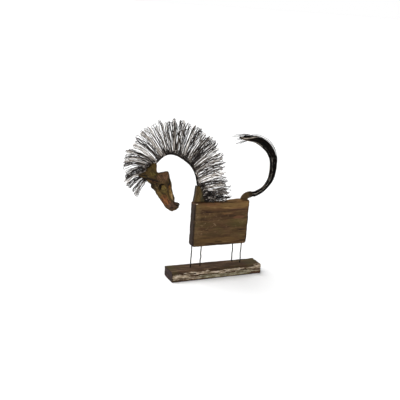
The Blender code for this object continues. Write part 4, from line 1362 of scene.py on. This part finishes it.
# Ends bent down over both faces of the wedge
face = [[at(x, z, level) for x, z in ((-0.0330, 0.1990), (-0.0385, 0.2150), (-0.0480, 0.2340))]
        for level in (-0.0080, 0.0080)]
face_line = polyline("face_line", face, angle=[radians(200.0)] * 6, reach=[1.0] * 6,
                     loose=[-1.2] * 6)
loop_set("wedge_wires", face_line,
         300, 1600, 56, 200, 60, 500, 60, 0, 80, 60, 800, 700, 900, 20, 4, 130)
crest_line = smooth_path([point + at(-0.0022, 0.0008) for point in crest], 3)
windings = [run_maker("neck_winding", winding, polyline("wrap_line", [bare_rod]),
                      finish=rod_steel),
            run_maker("crest_winding", winding, polyline("crest_line", [crest_line]),
                      radius=0.0022, pitch=0.0016, uneven=0.4, finish=rod_steel)]

# %% [markdown]
# ## The tail
# The tail is a bundle of still finer wire, nearly black. Its middle line rises from the dock,
# swings out and curls back over at the top, and its points carry the bundle's half width. The
# tree copies that line once for each strand, moves each copy to its own place in the section,
# lets it wander a little and ends it at its own share of the way, so the tip frays.

# %% Tree for the tail's strands
def bundle_maker():
    tree, guide, wire, depth_share, wander, fray, swirl, loose, strands, seed = new_maker(
        "bundled wires", wire=0.00044, depth_share=0.7, wander=0.0018, fray=0.24, swirl=0.9,
        loose=0.08, strands=240, seed=8)
    line = resampled(tree, guide, count=44)
    copies = tree.add("GeometryNodeDuplicateElements", Geometry=line, Amount=strands,
                      domain="SPLINE")
    number = tree.add("GeometryNodeCurveOfPoint").out("Curve Index")
    along = tree.add("GeometryNodeSplineParameter")
    stray = chance(tree, 0.0, 1.0, number, seed + 5)
    off = tree.rising(stray, 0.78, 0.84) * tree.rising(along, 0.48, 0.66)
    out_to = chance(tree, 0.0, 1.0, number, seed) ** 0.5
    out_to = out_to * 0.90 + off * (loose + stray * 0.4 - out_to * 0.30)
    copies = store(tree, copies, "tone", chance(tree, 0.0, 1.0, number, seed + 2))
    turn = chance(tree, 0.0, 2 * pi, number, seed + 1) + along * swirl
    push = round_line(tree, turn, attribute(tree, "width") * out_to, depth_share)
    here = tree.add("GeometryNodeInputPosition")
    apart = tree.join(number * 3.7, number * 1.9, number * 0.7)
    ripple = tree.drift(here * 34.0 + apart, 1.0, 2.0)
    ripple = ripple * (wander * 2.0 * tree.rising(along, 0.0, 0.15))
    copies = moved(tree, copies, Offset=push + ripple)
    copies = store(tree, copies, "tip", tree.rising(along, 0.74, 0.96))
    index = tree.add("GeometryNodeInputIndex")
    end = 1 - fray * chance(tree, 0.0, 1.0, index, seed + 3) ** 1.4
    copies = tree.add("GeometryNodeTrimCurve", Curve=copies, End=end, mode="FACTOR")
    return swept(tree, copies, wire, 4)


# %% The tail's finish
def tail_paint(tree, here):
    tone = tree.painted("tone")
    rust = tree.noise(here, 60.0, 2.0)
    # The top few tones make pale strands, partly bright wire and partly painted highlight
    steel = tree.ramp(tone, (0, 2, 2, 2), (880, 4, 3, 3), (950, 16, 11, 8),
                      (972, 300, 250, 200), (1000, 640, 580, 500))
    # Sparse pale specks along the strands are painted glints: painted highlight
    painted_glint = tree.rising(tree.noise(here * (1.0, 1.0, 0.5), 330.0, 1.0), 0.70, 0.76)
    steel = tree.over(steel, (14, 7, 4, tree.rising(rust, 0.50, 0.66) * 0.3),
                      (330, 300, 270, painted_glint * 0.7))
    tan = tree.mix((0.008, 0.005, 0.004), (0.420, 0.290, 0.200), tree.rising(tone, 0.80, 0.96))
    return tree.mix(steel, tan, tree.painted("tip") ** 3.0 * 0.85), 0.50 + rust * 0.2


tail_steel = surface("tail_wire_steel", tail_paint, Specular_IOR_Level=0.05)

# %% The tail
tail_height, tail_width = 0.154, 0.024
# The middle line from the dock's mouth, in thousandths of the tail's height, with its width in
# hundredths of the full width
tail_shape = scaled((
    (78, 3, 62), (204, 66, 58), (274, 136, 60), (322, 206, 68), (352, 281, 78), (367, 387, 84),
    (369, 505, 89), (345, 613, 91), (284, 718, 88), (208, 797, 86), (116, 861, 78),
    (-10, 916, 72), (-160, 931, 48), (-254, 942, 30), (-305, 950, 16)), 1e3, 1e3, 1e2)
tail_line = [dock_mouth + at(*place) for place in ((-0.0078, 0), (0.0004, 0), (0.0045, 0.0004))]
tail_line += [dock_mouth + at(x, z) * tail_height for x, z, width in tail_shape]
tail_line = smooth_path(tail_line, 4)
widths = [0.0044, 0.0052, 0.0074] + [width * tail_width / 2 for x, z, width in tail_shape]
widths = [point.x for point in smooth_path([at(width, 0) for width in widths], 4)]
tail = run_maker("tail_strands", bundle_maker(), polyline("tail_line", [tail_line], width=widths),
                 finish=tail_steel)

# Strands that stand off the tip: where each leaves the bundle and where it ends, in thousandths
# of the tail's height
tail_ends = scaled((
    (100, 925, -270, 985), (20, 940, -355, 995), (0, 935, -435, 965), (20, 925, -385, 905),
    (50, 905, -355, 845)), 1e3)
strand_chance = random.Random(21)


def scatter(most):
    """A random step of up to that length each way."""
    return Vector([strand_chance.uniform(-1, 1) * most for axis in range(3)])


stray = []
for start_x, start_z, end_x, end_z in tail_ends:
    for repeat in range(5):
        low = dock_mouth + at(start_x, start_z) * tail_height + scatter(0.004)
        high = dock_mouth + at(end_x, end_z) * tail_height
        high = low.lerp(high, strand_chance.uniform(0.70, 0.95) if repeat else 1.0)
        high += scatter(0.033 * tail_height if repeat else 0.0)
        middle = low.lerp(high, 0.5) + at(0, strand_chance.uniform(0.2, 1.0) * 0.004)
        stray.append(smooth_path([low, middle, high], 4))
tail_tip = wires("tail_tip", stray, radius=0.00040, spacing=0.003, finish=tail_steel,
                 kink=0.0004, seed=4.0)

# Strands that have sprung off the bundle, each from one share of the line's points to another,
# and how far it stands off in half widths. Dark ones stand outside the bend, and pale ones, with
# a minus, cross in front of the tip.
sprung = ((0.50, 0.93, 0.38), (0.52, 0.92, 0.43), (0.55, 0.96, 0.70), (0.82, 1.00, -0.90),
          (0.84, 1.00, -0.75), (0.83, 0.99, -1.05))
sprung_dark, sprung_pale, sprung_depth = 0.30, 0.98, 0.7
sprung_lines, tones = [], []
for order, (start, end, stand) in enumerate(sprung):
    first, last = int(start * len(tail_line)), int(end * len(tail_line)) - 1
    line = []
    for index in range(first, last):
        share = (index - first) / (last - 1 - first)
        way = (tail_line[index + 1] - tail_line[index - 1]).normalized()
        off = widths[index] * (0.80 + stand * sin(pi * share))
        level = (order % 4 - 1.5) * 0.0004 if stand > 0 else -sprung_depth * widths[index]
        line.append(tail_line[index] + at(way.z * off, -way.x * off, level))
    sprung_lines.append(line)
    tones += [sprung_dark if stand > 0 else sprung_pale] * len(line)
tail_sprung = wires("tail_sprung", sprung_lines, radius=0.00048, spacing=0.003,
                    finish=tail_steel, kink=0.0003, seed=9.0, tone=tones)

# %% [markdown]
# ## Floor and light
# The ornament stands on a plain pale floor. A very wide light from behind on the left leaves a
# soft shadow in front of the plank and past its tail end, and a low light in front opens the
# board's face. The sky is white at the horizon, so floor and sky meet without a line, and dim
# overhead.

# %% Floor, world and lights
def floor_paint(tree, here):
    return tree.mix((0.94, 0.94, 0.94), (0.96, 0.96, 0.96), tree.noise(here, 3.0, 1.0)), 0.85


builder = bmesh.new()
bmesh.ops.create_grid(builder, x_segments=1, y_segments=1, size=200.0)
floor = piece("floor", mesh_of("floor", builder),
              surface("pale_floor", floor_paint, Specular_IOR_Level=0.1), 0)
floor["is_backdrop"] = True

world = bpy.data.worlds.new("studio")
world.use_nodes = True
world_tree = Tree(world.node_tree)
rise = world_tree.parts(world_tree.add("ShaderNodeTexCoord"))[2]
sky = world.node_tree.nodes["Background"]
world_tree.feed(sky.inputs["Color"], (1.0, 1.0, 1.0))
world_tree.feed(sky.inputs["Strength"], 1.0 - world_tree.rising(rise, 0.13, 0.34) * 0.90)
bpy.context.scene.world = world
bpy.context.scene.view_settings.view_transform = "Standard"


def light(name, kind, energy, direction, **settings):
    """A light that shines that way."""
    made = bpy.data.objects.new(name, bpy.data.lights.new(name, kind))
    made.rotation_euler = direction.to_track_quat("-Z", "Y").to_euler()
    for label, value in {"energy": energy, **settings}.items():
        setattr(made.data, label, value)
    collection.objects.link(made)
    return made


light("wide_sun", "SUN", 4.75, Vector((0.58, -0.37, -0.73)), angle=radians(92))
lamp_place = Vector((-0.2, -1.5, 0.35))
light("front", "AREA", 7.9, camera_target - lamp_place, size=1.0).location = lamp_place
print("a wide sun, one soft light and a pale sky")

# %% [markdown]
# ## Hand the pieces to the frame
# Every piece rides on the one body, and the solids that it stands for are hidden. The list also
# names a finish slot of the record for each piece. The box printed at the end shows how far the
# pieces reach.

# %% Pieces and what they stand for
pieces = [(plank, "plank_wood", "base_plank"), (board, "board_wood", "body_board"),
          (wedge, "stub_wood", "neck_stub"), (dock, "stub_wood", "tail_dock"),
          (head, "head_wood", "head"), (rod, "neck_steel", "neck_core"),
          (mane[0], "mane_steel", *["mane_%d" % number for number in range(1, 8)]),
          (tail, "tail_steel", "tail"), (tail_tip, "tail_steel"), (tail_sprung, "tail_steel")]
pieces += [(made, "neck_steel") for made in windings] + [(made, "mane_steel") for made in mane[1:]]
pieces += [(leg, "leg_steel", "leg_wire_%d" % number) for number, leg in enumerate(legs, 1)]
for made, slot, *nodes in pieces:
    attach(made, "root")
    if nodes:
        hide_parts(*nodes)

low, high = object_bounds()
print("visual reaches from", tuple(low), "to", tuple(high))
